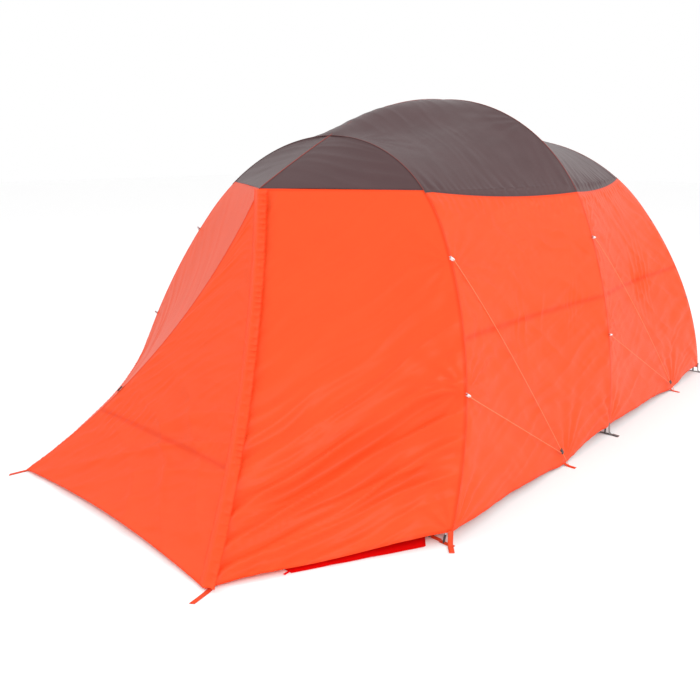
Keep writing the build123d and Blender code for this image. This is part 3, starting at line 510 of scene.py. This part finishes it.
# Roofs of the two bays: straight from hoop to hoop, held up by the ridge and sagging beside it
for bay, first, last, lap, ends in bays:
    spots = []
    for hoop in (first, last):
        half, y = hoop.edge(ROOF_LINE)
        spots.append((float(y), float(half), *hoop.apex()))
    sections = []
    share = np.linspace(0, 1, 190)
    for y, half, ty, tz in spots:
        up = np.array([0, ty - y, tz - ROOF_LINE])
        rise = np.linalg.norm(up)
        up = up / rise
        r = (half**2 + rise**2) / (2 * rise)
        reach = math.acos((r - rise) / r)
        turn = math.pi / 2 + reach * (2 * share - 1)
        x, h = r * np.cos(turn), r * np.sin(turn) - (r - rise)
        sections.append(np.array([0, y, ROOF_LINE]) + np.outer(x, [1, 0, 0]) + np.outer(h, up))
    u = np.linspace(0, 1, 120)
    crown = sections[0][None] * (1 - u)[:, None, None] + sections[1][None] * u[:, None, None]
    hump = np.exp(-(((share - 0.5) / 0.10) ** 2))
    ridge = crown[:, len(share) // 2]
    ridge_lift = ridge_z(ridge[:, 1]) - ridge[:, 2]
    slack = (1 - hump) * np.sin(math.pi * share) ** 0.6
    fall = ridge_lift[:, None] * hump[None] - ROOF_SAG * (4 * u * (1 - u))[:, None] * slack[None]
    crown = crown + normals(crown, (0, 0, 1)) * fall[..., None]
    skirts = []
    for side in (1, -1):
        at = wall_surface(first, last, side, lap)
        uu, kk = np.meshgrid(u, np.linspace(0, 1, 6)[:-1], indexing="ij")
        low = np.minimum(seam_height(uu, ends), ROOF_LINE - 0.002)
        skirts.append(at(uu, low + (ROOF_LINE - low) * kk))
    grid = np.concatenate([skirts[0], crown, skirts[1][:, ::-1]], 1)
    seed = 51 if bay == "front" else 67

    def roof_fold(s, t, seed=seed):
        near = np.minimum(t, t[:, -1:] - t)
        d = 0.0024 * crumple(s, t, seed, 80, 0.5, 0.12) + 0.0018 * crumple(s, t, seed + 2, 30, 0.4, 0.12)
        pucker = np.sin(2 * math.pi * (s + 0.2 * near + 0.03 * noise(s / 0.12, t / 0.5, seed)) / 0.085)
        patch = np.clip(0.55 + noise(s / 0.2, t / 0.9, seed + 4), 0, 1)
        d = d + 0.010 * pucker * patch * np.exp(-near / 0.075)
        d = d + 0.0035 * np.sin(2 * math.pi * s / 0.045) * np.exp(-near / 0.05)
        for s0 in (0.0, s.max()):
            for k in (0.25, 0.75):
                d = d + fan(s, t, (s0, k * t.max()), 0 if s0 == 0 else 180, 13, 0.003, 0.3, 1.0)
        return d

    cloth(
        f"{bay}_roof_cloth",
        grid,
        roof_fold,
        (0, 0, 1),
        grey,
        [f"{bay}_roof"],
        pinned=(1, 1, 1, 1),
    )


# Porch and rear end
def ruled(first, last, heights, sag, inward, side, count=110, hem=None):
    """A panel of level lines from one edge to another, drawn inward by sag(z) halfway."""
    u, v = np.meshgrid(np.linspace(0, 1, count), np.linspace(0, 1, len(heights)), indexing="ij")
    z = np.broadcast_to(np.asarray(heights, float), u.shape)
    if hem is not None:
        z = z + (hem(u) - z[:, :1]) * (1 - v) ** 3
    x1, y1 = first(z)
    x2, y2 = last(z)
    deep = sag(z) * 4 * u * (1 - u)
    x = x1 + (x2 - x1) * u + inward[0] * deep
    return np.stack([side * x, y1 + (y2 - y1) * u + inward[1] * deep, z], -1)


# The way out from a porch wall, for the right side
PORCH_TURN = math.radians(37.7)
out_x, out_y = math.sin(PORCH_TURN), -math.cos(PORCH_TURN)


def mirror_y(y):
    return 2 * middle.y0 - y


def rear_seam(z):
    k = z / brow_z
    return 0.0 * z, (rear.y0 + 0.09) * (1 - k) + mirror_y(brow_y) * k


def rear_start(z):
    x, y = rear.edge(z)
    return x, y + REAR_LAP


def wall_door_edge(z):
    x, y = door_edge(z)
    return x + 0.0018, y


def porch_hem(u):
    return 0.062 - 0.02 * np.sin(math.pi * u) ** 2 - 0.05 * u**2


def door_hem(u):
    return 0.012 + 0.022 * np.sin(math.pi * u) ** 0.8


def edge_sag(z):
    return EDGE_SAG + 0 * z


def porch_sag(z):
    return EDGE_SAG + PORCH_SAG * np.sin(math.pi * np.clip((z - HEM) / (brow_z - HEM), 0, 1))


def brow_seam(z):
    return 0 * z, brow_line(z)


def rear_brow_seam(z):
    return 0 * z, mirror_y(brow_line(z))


def porch_cap_fold(s, t):
    return 0.003 * crumple(s, t, 91, 20, 0.4, 0.1)


def rear_cap_fold(s, t):
    return 0.003 * crumple(s, t, 97, 20, 0.4, 0.1)


def rear_end_fold(s, t):
    d = 0.005 * crumple(s, t, 101, 30, 0.5, 0.13)
    d = d + drape(s, t, (0.03, 0.7), (1.2, 0.05), 0.16, 0.009, 0.25, 103)
    return d + fan(s, t, (0.0, 0.66), 0, 15, 0.006, 0.3, 1.1)


HEM_LOW = 0.035
wall_z = np.linspace(HEM_LOW, brow_z - SEAM_GAP, 165)
cap_z = brow_z + (apex_z - SEAM_GAP - brow_z) * np.sin(np.linspace(0, math.pi / 2, 60))
for side_name, side in sides:
    far = side < 0

    def porch_fold(s, t, far=far):
        wide, high = s[-1:], t.max()
        seed = 83 if far else 71
        k = s / np.maximum(wide, 0.01)
        low = 1 - smooth(t, 0.5, 1.15)
        d = 0.010 * crumple(s, t, seed, -20, 0.6, 0.08) * (0.45 + low)
        d = d + drape(s, t, (0.0, 0.60), (1.10, 0.16), 0.13, 0.026, 0.22, seed + 1)
        d = d + drape(s, t, (0.0, 0.26), (1.10, 0.03), 0.10, 0.018, 0.13, seed + 2)
        d = d + drape(s, t, (0.0, 0.98), (0.95, 0.55), 0.16, 0.013, 0.18, seed + 4)
        d = d + fan(s, t, (0.0, 0.66), 0, 15, 0.007, 0.3, 1.1)
        d = d + fan(s, t, (0.0, 1.3), 0, 13, 0.006, 0.3, 1.0)
        d = d + fan(s, t, (0.0, 0.0), 45, 13, 0.008, 0.3, 0.7)
        d = d + 0.003 * np.sin(2 * math.pi * t / 0.05) * np.exp(-(wide - s) / 0.035)
        d = d + 0.0025 * np.sin(2 * math.pi * s / 0.05) * np.exp(-(high - t) / 0.04)
        return d * smooth(1.0 - k, 0.0, 0.06) * (0.3 if far else 1.0)

    grid = ruled(front.edge, wall_door_edge, wall_z, porch_sag, (-out_x, -out_y), side, 110, porch_hem)
    faces = (side * out_x, out_y, 0)
    nodes = [f"porch_wall_{side_name}"]
    cloth(f"porch_wall_{side_name}_cloth", grid, porch_fold, faces, orange, nodes)
    grid = ruled(front.edge, brow_seam, cap_z, edge_sag, (0, 1), side)
    nodes = [f"porch_roof_{side_name}"]
    cloth(f"porch_roof_{side_name}_cloth", grid, porch_cap_fold, (0, -1, 1), grey, nodes)
    grid = ruled(rear.edge, rear_brow_seam, cap_z, edge_sag, (0, -1), side)
    cloth(
        f"rear_cap_{side_name}_cloth",
        grid,
        rear_cap_fold,
        (0, 1, 1),
        grey,
        [f"rear_cap_{side_name}"],
    )
    grid = ruled(rear_start, rear_seam, wall_z, edge_sag, (0, -1), side)
    cloth(
        f"rear_end_wall_{side_name}_cloth",
        grid,
        rear_end_fold,
        (0, 1, 0),
        orange,
        [f"rear_end_wall_{side_name}"],
    )

# Porch door, zip tape and storm flap
hinge_low, hinge_top = np.array([-door_a[0], door_a[1], 0.0]), door_t
along = (hinge_top - hinge_low) / np.linalg.norm(hinge_top - hinge_low)
across = door_a - hinge_low
across = across - along * across.dot(along)
across = across / np.linalg.norm(across)
hinge_mid = (hinge_low + hinge_top) / 2
door_blend = ("tent", "front_door", tuple(hinge_mid + across * 0.11), tuple(hinge_mid + across * 0.42))
ZIP = 0.006


def door_left(z):
    x, y = door_edge(z)
    return np.minimum(-0.0016 - x, -0.0004), y


def door_right(z):
    x, y = door_edge(z)
    return np.maximum(x - ZIP, 0.0004), y


door_z = np.linspace(HEM_LOW, brow_z - 0.004, 165)
grid = ruled(door_left, door_right, door_z, edge_sag, (0, 1), 1, 120, door_hem)
seam_gap = grid[..., 2] - DOOR_SEAM


def door_fold(s, t):
    wide = s[-1:]
    d = 0.0045 * crumple(s, t, 113, 20, 0.6, 0.12) + 0.0035 * crumple(s, t, 119, 62, 0.35, 0.05)
    d = d + drape(s, t, (0.1, 0.72), (1.25, 0.1), 0.17, 0.009, 0.25, 115)
    d = d + drape(s, t, (1.3, 0.9), (0.25, 0.1), 0.19, 0.008, 0.25, 117)
    d = d + 0.003 * np.sin(2 * math.pi * t / 0.055) * np.exp(-(wide - s) / 0.04)
    pucker = np.sin(2 * math.pi * (s + 0.25 * t + 0.03 * noise(s / 0.1, t / 0.3, 121)) / 0.055)
    patch = np.clip(0.3 + noise(s / 0.2, t / 0.9, 123), 0, 1)
    d = d + 0.004 * pucker * patch * np.exp(-np.abs(seam_gap) / 0.07)
    return d - 0.002 * np.exp(-((seam_gap / 0.008) ** 2))


marks = np.maximum(edge_marks(grid), np.exp(-((seam_gap / 0.008) ** 2)))
cloth(
    "front_door_cloth",
    grid,
    door_fold,
    (0, -1, 0),
    orange,
    ["front_door"],
    marks=marks,
    blend=door_blend,
)

# Door half of the zip
tape_z = np.linspace(HEM, door_top, 120)
x, y = door_edge(tape_z)
tape = np.stack([np.stack([x - a, y, tape_z], -1) for a in (0.0059, 0.0035)])
cloth(
    "front_zip_tape",
    tape,
    None,
    (0, -1, 0),
    coil,
    ["front_zip_door_side"],
    marks=np.zeros(tape.shape[:2]),
    blend=door_blend,
)

# Storm flap: sewn to the door, over the zip and rippled where it lies loose on the wall
flap_z = np.linspace(0.022, brow_z - 0.004, 440)
x, y = door_edge(flap_z)
k = np.linspace(0, 1, 14)[:, None]
lift = 0.018 * smooth(k, 0.0, 0.38) + 0.012 * smooth(k, 0.5, 1.0)
step = -0.04 + 0.088 * k
ripple = np.sin(2 * math.pi * (flap_z + 0.03 * noise(flap_z / 0.12, flap_z * 0, 7)) / 0.034)
wobble = 0.006 * ripple * smooth(k, 0.42, 0.75) + 0.009 * noise(flap_z / 0.06, k * 3, 9) * smooth(k, 0.5, 1.0)
on_wall = np.clip(step, 0, 1)
fx = x[None] + np.minimum(step, 0) - on_wall * out_y + (lift + wobble) * out_x
fy = y[None] - 0.0016 + on_wall * out_x + (lift + wobble) * out_y
grid = np.stack([fx, fy, np.broadcast_to(flap_z, fx.shape)], -1)
cloth(
    "door_storm_flap_cloth",
    grid,
    None,
    (0, -1, 0),
    orange,
    ["door_storm_flap"],
    marks=edge_marks(grid, 0.006, (1, 1, 0, 0)),
    blend=door_blend,
)


# Webbing: bands through a few points, rounded where they turn
def band_grid(points, width, across):
    pts = np.array(points, float)
    for _ in range(3):
        cut = [pts[0]]
        for a, b in zip(pts[:-1], pts[1:]):
            cut += [a * 0.75 + b * 0.25, a * 0.25 + b * 0.75]
        pts = np.array(cut + [pts[-1]])
    wide = np.linspace(-width / 2, width / 2, 5)
    return pts[:, None, :] + wide[None, :, None] * np.asarray(across, float) / np.linalg.norm(across)


def webbing(name, points, width, across, material, node):
    grid = band_grid(points, width, across)
    marks = edge_marks(grid, 0.003)
    return cloth(name, grid, None, (0, 0, 1), material, [node], marks=marks)


def strap(name, route, side, across, node, material=band):
    """A webbing strap whose route is written for the right side."""
    points = [(side * x, y, z) for x, y, z in route]
    return webbing(f"{name}_web", points, BAND, across, material, node)


# Heights above the ground of webbing that lies flat, runs underneath, is doubled back, or turns
FLAT, UNDER, DOUBLED, TURN = 0.0015, 0.0012, 0.0062, 0.006
WEB_OFF = 0.0016
for side_name, side in sides:
    for name, hoop in hoops:
        y = hoop.y0 + math.copysign(0.006, hoop.tilt) * (1 if hoop.tilt else 0)
        x = FOOT + WEB_OFF
        skin = band if name == "front" else band_grey
        route = [(-0.002, 0.075), (0.0, 0.035), (0.004, TURN), (0.03, FLAT), (0.066, FLAT)]
        route += [(0.0675, 0.004), (0.064, DOUBLED), (0.035, DOUBLED), (0.022, 0.007)]
        turn = math.radians(49) if name == "front" else 0.0
        route = [(x + a * math.cos(turn), y - a * math.sin(turn), z) for a, z in route]
        across = (side * math.sin(turn), math.cos(turn), 0)
        strap(f"foot_strap_{name}_{side_name}", route, side, across, f"foot_straps_{side_name}", skin)
        under = [(x + 0.02, y, UNDER), (x - 0.02, y, UNDER), (FOOT - 0.055, y, UNDER)]
        strap(f"foot_tail_{name}_{side_name}", under, side, (0, 1, 0), f"foot_straps_{side_name}", skin)
    for bay, first, last, lap, ends in bays:
        x1, y1 = first.edge(HEM)
        x2, y2 = last.edge(HEM)
        y = float(y1 + (y2 - y1) * STAKE_SHARE)
        dip = EDGE_SAG * 4 * STAKE_SHARE * (1 - STAKE_SHARE)
        x = float(x1 + (x2 - x1) * STAKE_SHARE - dip) + WEB_OFF
        route = [(x, y, 0.07), (x + 0.001, y, 0.03), (x + 0.006, y, TURN), (x + 0.03, y, FLAT)]
        route += [(STRAP_OUT - 0.002, y, FLAT)]
        strap(f"hem_loop_{bay}_{side_name}", route, side, (0, 1, 0), f"hem_loops_{side_name}")
    cx, cy = (float(v) for v in wall_door_edge(np.array(HEM)))
    ex, ey = (float(v) for v in front.edge(HEM, TUCK))
    heading = np.array([ex - cx, ey - cy]) / math.hypot(ex - cx, ey - cy)
    rx = cx + heading[0] * 0.025 + heading[1] * WEB_OFF
    ry = cy + heading[1] * 0.025 - heading[0] * WEB_OFF
    hx, hy = (float(v) for v in wall_door_edge(np.array(0.068)))
    route = [(rx + hx - cx, ry + hy - cy, 0.068), (rx, ry - 0.001, 0.045), (rx + 0.006, ry - 0.012, TURN)]
    route += [(rx + 0.024, ry - 0.04, FLAT), (rx + 0.045, -SHIFT - 0.069, FLAT)]
    strap(f"porch_corner_{side_name}", route, side, (0.82, 0.57 * side, 0), "porch_corner_loops")
    for name, hoop in (hoops[0], hoops[2]):
        y = hoop.y0 + math.copysign(0.0125, hoop.tilt)
        tx = float(hoop.edge(0.0, INSET)[0])
        route = [(tx + 0.001, y, 0.004), (tx + 0.02, y, UNDER), (FOOT - 0.0556, y, UNDER)]
        strap(f"inner_corner_{name}_{side_name}", route, side, (0, 1, 0), "inner_corner_straps")
ry = float(rear_seam(np.array(HEM))[1]) + WEB_OFF
route = [(0, ry, 0.07), (0, ry, 0.03), (0, ry + 0.008, TURN), (0, ry + 0.04, FLAT), (0, SHIFT - 0.001, FLAT)]
strap("rear_loop", route, 1, (1, 0, 0), "rear_hem_loop")

# Guy tabs: white loops across the hoop seams, each as (out from the hoop, along the hoop)
tab_loop = ((0.001, 0.006), (0.012, 0.006), (0.0165, 0.0), (0.012, -0.006), (0.001, -0.006))
for side_name, side in sides:
    for name, hoop in hoops:
        for level, z in (("upper", UPPER_TAB), ("lower", LOWER_TAB)):
            spot, n, h = hoop.frame_at(z, side)
            spot = spot - h * 0.0075
            route = [spot + n * out + h * along_hoop for out, along_hoop in tab_loop]
            wide = np.cross(n, h)
            webbing(
                f"guy_tab_{name}_{level}_{side_name}_web",
                route,
                0.03,
                wide - h * 0.25 * (1 if wide[1] > 0 else -1),
                white,
                f"guy_tabs_{side_name}",
            )

# Door tie loop on the far door seam
TIE_Z, TIE_HALF, TIE_OFF = 0.45, 0.03, 0.0006
tx, ty = (float(v) for v in wall_door_edge(np.array(TIE_Z)))
above, below = wall_door_edge(np.array(TIE_Z + 0.01)), wall_door_edge(np.array(TIE_Z - 0.01))
hx, hy = (float(a - b) for a, b in zip(above, below))
up = np.array([-hx, hy, 0.02])
up = up / np.linalg.norm(up)
spot = np.array([-tx - TIE_OFF * out_x, ty + TIE_OFF * out_y, TIE_Z])
webbing(
    "door_tie_loop_web",
    [spot - up * TIE_HALF, spot, spot + up * TIE_HALF],
    0.008,
    np.cross(up, (-out_x, out_y, 0)),
    band,
    "door_tie_loop",
)

# Piping over each hoop seam and along the ridge, in rows of (across the seam, out from it)
hoop_rows = ((-0.0032, 0.0002), (-0.0016, 0.0017), (0.0, 0.0023), (0.0016, 0.0017), (0.0032, 0.0002))
ridge_rows = ((-0.0045, 0.0), (-0.0022, 0.0022), (0.0, 0.003), (0.0022, 0.0022), (0.0045, 0.0))
for name, hoop in hoops:
    a = hoop.arch
    h = np.linspace(0.03, a.cz + a.cr * 0.98, 150)
    x = a.half(h)
    right = np.stack([x, h], -1)
    top = np.linspace(math.acos(float(x[-1]) / a.cr), math.pi / 2, 40)[1:]
    crown = np.stack([a.cr * np.cos(top), a.cz + a.cr * np.sin(top)], -1)
    half_line = np.concatenate([right, crown])
    line = np.concatenate([half_line, (half_line * (-1, 1))[::-1][1:]])
    up = np.array([0, math.sin(hoop.tilt), math.cos(hoop.tilt)])
    wide = np.array([0, math.cos(hoop.tilt), -math.sin(hoop.tilt)])
    spots = np.array([0, hoop.y0, 0]) + line[:, :1] * np.array([1.0, 0, 0]) + line[:, 1:] * up
    ahead = np.gradient(spots, axis=0)
    n = np.cross(wide, ahead)
    n = n / np.linalg.norm(n, axis=1, keepdims=True)
    n = n * np.sign((n * (spots - np.array([0, hoop.y0, 0.7]))).sum(1).mean())
    keep = line[:, 1] * math.cos(hoop.tilt) > (1.53 if hoop.tilt else 1.50)
    p, q = spots[keep], n[keep]
    grid = np.stack([p + wide * w + q * e for w, e in hoop_rows], 1)
    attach(grid_mesh(f"piping_{name}", grid, piping), "tent")
ys = np.linspace(brow_y + 0.004, mirror_y(brow_y) - 0.004, 200)
spots = np.stack([0 * ys, ys, ridge_z(ys)], -1)
grid = np.stack([spots + np.array([w, 0, e]) for w, e in ridge_rows], 1)
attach(grid_mesh("piping_ridge", grid, piping), "tent")

# Guylines: the route's points are the control points
CORD, CORD_GAP = 0.0015, 0.0006  # radius, and the gap to what it passes
TAB_LIFT, TAB_REACH, TAB_HALF = 0.0009, 0.016, 0.013
GRIP, GRIP_HALF = 0.12, 0.009  # tensioner: its distance from the stake and half its width
BEND_SHARE, BEND_OUT = 0.3, 0.06


def guyline(name, route, node):
    curve = bpy.data.curves.new(name, "CURVE")
    curve.dimensions = "3D"
    curve.bevel_depth = CORD
    curve.resolution_u = 24
    spline = curve.splines.new("NURBS")
    spline.points.add(len(route) - 1)
    for point, spot in zip(spline.points, route):
        point.co = (*spot, 1)
    spline.order_u = 3
    spline.use_endpoint_u = True
    curve.materials.append(cord_skin)
    obj = bpy.data.objects.new(name, curve)
    bpy.context.scene.collection.objects.link(obj)
    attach(obj, "tent")
    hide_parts(node)
    tuple(route[0])


for bay, hoop, last, lap, ends in bays:
    for side_name, side in sides:
        y1, y2 = float(hoop.edge(HEM)[1]), float(last.edge(HEM)[1])
        stake = np.array([side * (STRAP_OUT - 0.042), y1 + (y2 - y1) * STAKE_SHARE, WEB + CORD_GAP + CORD])
        starts = []
        for z in (UPPER_TAB, LOWER_TAB):
            spot, n, h = hoop.frame_at(z, side)
            starts.append(spot + n * (TAB_LIFT + TAB_REACH - CORD) - h * (TAB_HALF + CORD_GAP + CORD))
        bend = starts[0] + (stake - starts[0]) * BEND_SHARE + np.array([side * BEND_OUT, 0, 0])
        run = (stake - bend) / np.linalg.norm(stake - bend)
        grip = stake - run * GRIP
        toward = starts[1] - grip
        wide = toward - run * toward.dot(run)
        wide = wide / np.linalg.norm(wide)
        branch_end = grip + wide * (GRIP_HALF + CORD + CORD_GAP)
        node = f"guyline_{bay}_{side_name}"
        guyline(f"{node}_main_cord", (starts[0], bend, stake), node)
        guyline(f"{node}_branch_cord", (starts[1], (starts[1] + branch_end) / 2, branch_end), node)


# Inner tent
def soft(seed, amp=0.004):
    return lambda s, t: amp * crumple(s, t, seed, 30, 0.5, 0.14)


def inner_cloth(
    name,
    grid,
    fold,
    outward,
    node,
    body="tent",
    skin=inner,
):
    """A piece of the inner tent, sewn in all round and hung."""
    cloth(
        name,
        grid,
        fold,
        outward,
        skin,
        [node],
        body=body,
        pinned=(1, 1, 1, 1),
    )


def inner_front(z):
    return front.edge(z, INSET)


def inner_rear(z):
    return rear.edge(z, INSET)


def inner_bulge(z):
    return front.edge(z, INSET)[0] - middle.edge(z, INSET)[0]


inner_z = np.linspace(TRAY + SEAM_GAP, INNER_TOP, 60)
for side_name, side in sides:
    grid = ruled(inner_front, inner_rear, inner_z, inner_bulge, (-1, 0), side, 120)
    inner_cloth(f"inner_wall_{side_name}_cloth", grid, soft(131), (side, 0, 0), f"inner_wall_{side_name}")
arches = []
share = np.linspace(0, 1, 90)
for _, hoop in hoops:
    half, y = (float(v) for v in hoop.edge(INNER_TOP, INSET))
    ty, tz = hoop.apex()
    up = np.array([0, ty - y, tz - INNER_TOP])
    rise = np.linalg.norm(up) - INSET
    up = up / np.linalg.norm(up)
    r = (half**2 + rise**2) / (2 * rise)
    reach = math.acos((r - rise) / r)
    turn = math.pi / 2 + reach * (2 * share - 1)
    x, h = r * np.cos(turn), r * np.sin(turn) - (r - rise)
    arches.append(np.array([0, y, INNER_TOP + SEAM_GAP]) + np.outer(x, [1, 0, 0]) + np.outer(h, up))
u = np.linspace(0, 1, 110)
weights = (np.clip(1 - 2 * u, 0, 1), 1 - np.abs(2 * u - 1), np.clip(2 * u - 1, 0, 1))
grid = sum(w[:, None, None] * a[None] for w, a in zip(weights, arches))
hang = 0.05 * np.abs(np.sin(2 * math.pi * u))[:, None] * np.sin(math.pi * share)[None] ** 0.6
grid = grid - normals(grid, (0, 0, 1)) * hang[..., None]
inner_cloth(
    "inner_mesh_roof_cloth",
    grid,
    soft(137, 0.006),
    (0, 0, 1),
    "inner_mesh_roof",
    skin=mesh_cloth,
)


def in_plane(hoop, a, b):
    """Points a across and b up in the plane of a hoop."""
    up = np.array([0, math.sin(hoop.tilt), math.cos(hoop.tilt)])
    return np.array([0, hoop.y0, 0]) + a[..., None] * np.array([1.0, 0, 0]) + b[..., None] * up


END_LOW, END_INSET = 0.129, INSET + 0.0046
DOOR_HALF, DOOR_LOW, DOOR_HIGH, DOOR_ROUND = 0.56, 0.19, 1.29, 0.48


def door_half(h, gap=0.0):
    half, top, r = DOOR_HALF - gap, DOOR_HIGH - gap, DOOR_ROUND - gap
    over = np.clip(h - (top - r), 0, r)
    return half - r + np.sqrt(np.maximum(r**2 - over**2, 0))


# Inner rear wall
top = end_arch.cz + end_arch.cr - END_INSET
h = END_LOW + (top - END_LOW) * np.sin(np.linspace(0, 1, 80) * math.pi / 2)
half = end_arch.half(h, END_INSET)
k = np.linspace(-1, 1, 90)
grid = in_plane(rear, k[:, None] * half[None], np.broadcast_to(h, (90, 80)))
inner_cloth("inner_rear_wall_cloth", grid, soft(139), (0, 1, 0), "inner_rear_wall")

# Inner door, a little smaller than its opening
DOOR_GAP = 0.004
h = DOOR_LOW + DOOR_GAP + (DOOR_HIGH - DOOR_LOW - 2 * DOOR_GAP) * np.sin(np.linspace(0, 1, 70) * math.pi / 2)
grid = in_plane(front, k[:, None] * door_half(h, DOOR_GAP)[None], np.broadcast_to(h, (90, 70)))
inner_cloth(
    "inner_door_cloth",
    grid,
    soft(149, 0.003),
    (0, -1, 0),
    "inner_door",
    body="inner_door",
)

# Inner front wall: rings from the door opening out to the hoop
angles = np.linspace(0, 2 * math.pi, 220)
hub = 0.7
reach = np.linspace(0.05, 3, 6000)
outer_r, inner_r = [], []
for a in angles:
    px, py = reach * math.cos(a), hub + reach * math.sin(a)
    inside = (py > END_LOW) & (py < top) & (np.abs(px) < end_arch.half(np.clip(py, 0, top), END_INSET))
    outer_r.append(reach[inside].max())
    inside = (py > DOOR_LOW) & (py < DOOR_HIGH) & (np.abs(px) < door_half(py))
    inner_r.append(reach[inside].max())
k = np.linspace(0, 1, 24)[None]
r = np.array(inner_r)[:, None] * (1 - k) + np.array(outer_r)[:, None] * k
grid = in_plane(front, r * np.cos(angles)[:, None], hub + r * np.sin(angles)[:, None])
from_door = np.broadcast_to(k, r.shape) * (r.max() - 0.5)
obj = grid_mesh("inner_front_wall_cloth", grid, inner, 1 - smooth(from_door, 0.006, 0.012))
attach(obj, "tent")
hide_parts("inner_front_wall")
area_of(grid)

# Floor tray: base and four upright sides in one sheet
fx, fy = (float(v) for v in front.edge(0.0, INSET))
ry = float(rear.edge(0.0, INSET)[1])
tx, ty = (float(v) for v in front.edge(TRAY, INSET))
qy = float(rear.edge(TRAY, INSET)[1])
k = np.linspace(0, 1, 9)
a = np.concatenate([k[:-1] * 0, np.linspace(0, 1, 90), k[1:] * 0 + 1])
rise = np.concatenate([1 - k[:-1], np.zeros(90), k[1:]])
u, v = np.meshgrid(a, a, indexing="ij")
lift = np.maximum(rise[:, None], rise[None])
x = (2 * v - 1) * (fx + (tx - fx) * lift)
y = (fy + (ty - fy) * lift) + u * ((ry + (qy - ry) * lift) - (fy + (ty - fy) * lift))
z = 0.0008 + lift * (TRAY - 0.0008)
calm = smooth(1 - np.abs(2 * u - 1), 0, 0.05) * smooth(1 - np.abs(2 * v - 1), 0, 0.05)
ripple = 0.0025 * np.abs(crumple(x, y, 151, 20, 0.5, 0.16)) * (lift == 0) * calm
grid = np.stack([x, y, z + ripple], -1)
obj = grid_mesh("inner_floor_cloth", grid, tray)
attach(obj, "tent")
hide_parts("inner_floor")
flat = (2 * fx + 2 * TRAY, ry - fy + 2 * TRAY)
min(area_of(grid), flat[0] * flat[1])

# Porch mat
MAT_FRONT, MAT_CORNER, MAT_IN, MAT_BACK = 0.345, 0.9, 0.03, 1.24
slope = (FOOT - CORNER) / PORCH
v = np.linspace(0, 1, 60)
y = MAT_FRONT + (PORCH - SEAM_GAP - MAT_FRONT) * v
corner_half = CORNER + slope * MAT_CORNER - MAT_IN
taper = (y - MAT_CORNER) / 0.0794
half = np.where(y < MAT_CORNER, CORNER + slope * y - MAT_IN, corner_half + (MAT_BACK - corner_half) * taper)
k = np.linspace(-1, 1, 140)
x = k[:, None] * half[None]
yy = np.broadcast_to(y - SHIFT, x.shape)
z = 0.0012 + 0.004 * np.clip(crumple(x, yy, 163, 15, 0.5, 0.15), 0, 1)
grid = np.stack([x, yy, z], -1)
cloth("porch_mat_cloth", grid, None, (0, 0, 1), red, ["porch_mat"])
for side_name, side in sides:
    mx = side * (CORNER + slope * MAT_FRONT - MAT_IN - 0.015)
    my = MAT_FRONT - SHIFT
    route = [(mx, my + 0.03, 0.003), (mx, my - 0.01, 0.003), (mx, my - 0.029, FLAT)]
    webbing(f"porch_mat_loop_{side_name}_web", route, 0.012, (1, 0, 0), red, "porch_mat")

# Floor, lights and camera
bpy.ops.mesh.primitive_plane_add(size=80, location=(0, 0, -0.0005))
floor = bpy.context.object
floor.name = "floor"
floor.data.materials.append(hard_material("floor", (0.985, 0.985, 0.985), 0.0, 0.95))
floor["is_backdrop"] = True
world = bpy.data.worlds.new("studio")
bpy.context.scene.world = world
world.use_nodes = True
world.node_tree.nodes["Background"].inputs["Color"].default_value = (1, 1, 1, 1)
world.node_tree.nodes["Background"].inputs["Strength"].default_value = 1.0


def area_light(name, spot, aim, size, power):
    light = bpy.data.lights.new(name, "AREA")
    light.shape, light.size, light.energy = "DISK", size, power
    obj = bpy.data.objects.new(name, light)
    bpy.context.scene.collection.objects.link(obj)
    obj.location = spot
    obj.rotation_euler = (Vector(aim) - Vector(spot)).to_track_quat("-Z", "Y").to_euler()


area_light("key", (-5.0, -6.5, 6.5), (0, -0.8, 0.8), 4.0, 95)
area_light("fill", (6.0, -5.0, 5.5), (0.6, -0.8, 0.7), 3.0, 215)
area_light("side", (8.0, 3.0, 5.5), (0.8, 0.6, 0.9), 4.0, 200)

# Camera as solved from the photo
yaw, pitch = math.radians(42.306), math.radians(15.91)
look = Vector((-math.sin(yaw) * math.cos(pitch), math.cos(yaw) * math.cos(pitch), -math.sin(pitch)))
camera = bpy.data.objects.new("camera", bpy.data.cameras.new("camera"))
bpy.context.scene.collection.objects.link(camera)
camera.location = (2.949, -3.738, 1.743)
camera.rotation_euler = look.to_track_quat("-Z", "Y").to_euler()
camera.data.sensor_width = 36.0
camera.data.lens = 35.92
bpy.context.scene.camera = camera
scene = bpy.context.scene
scene.view_settings.view_transform = "Standard"

low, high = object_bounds()
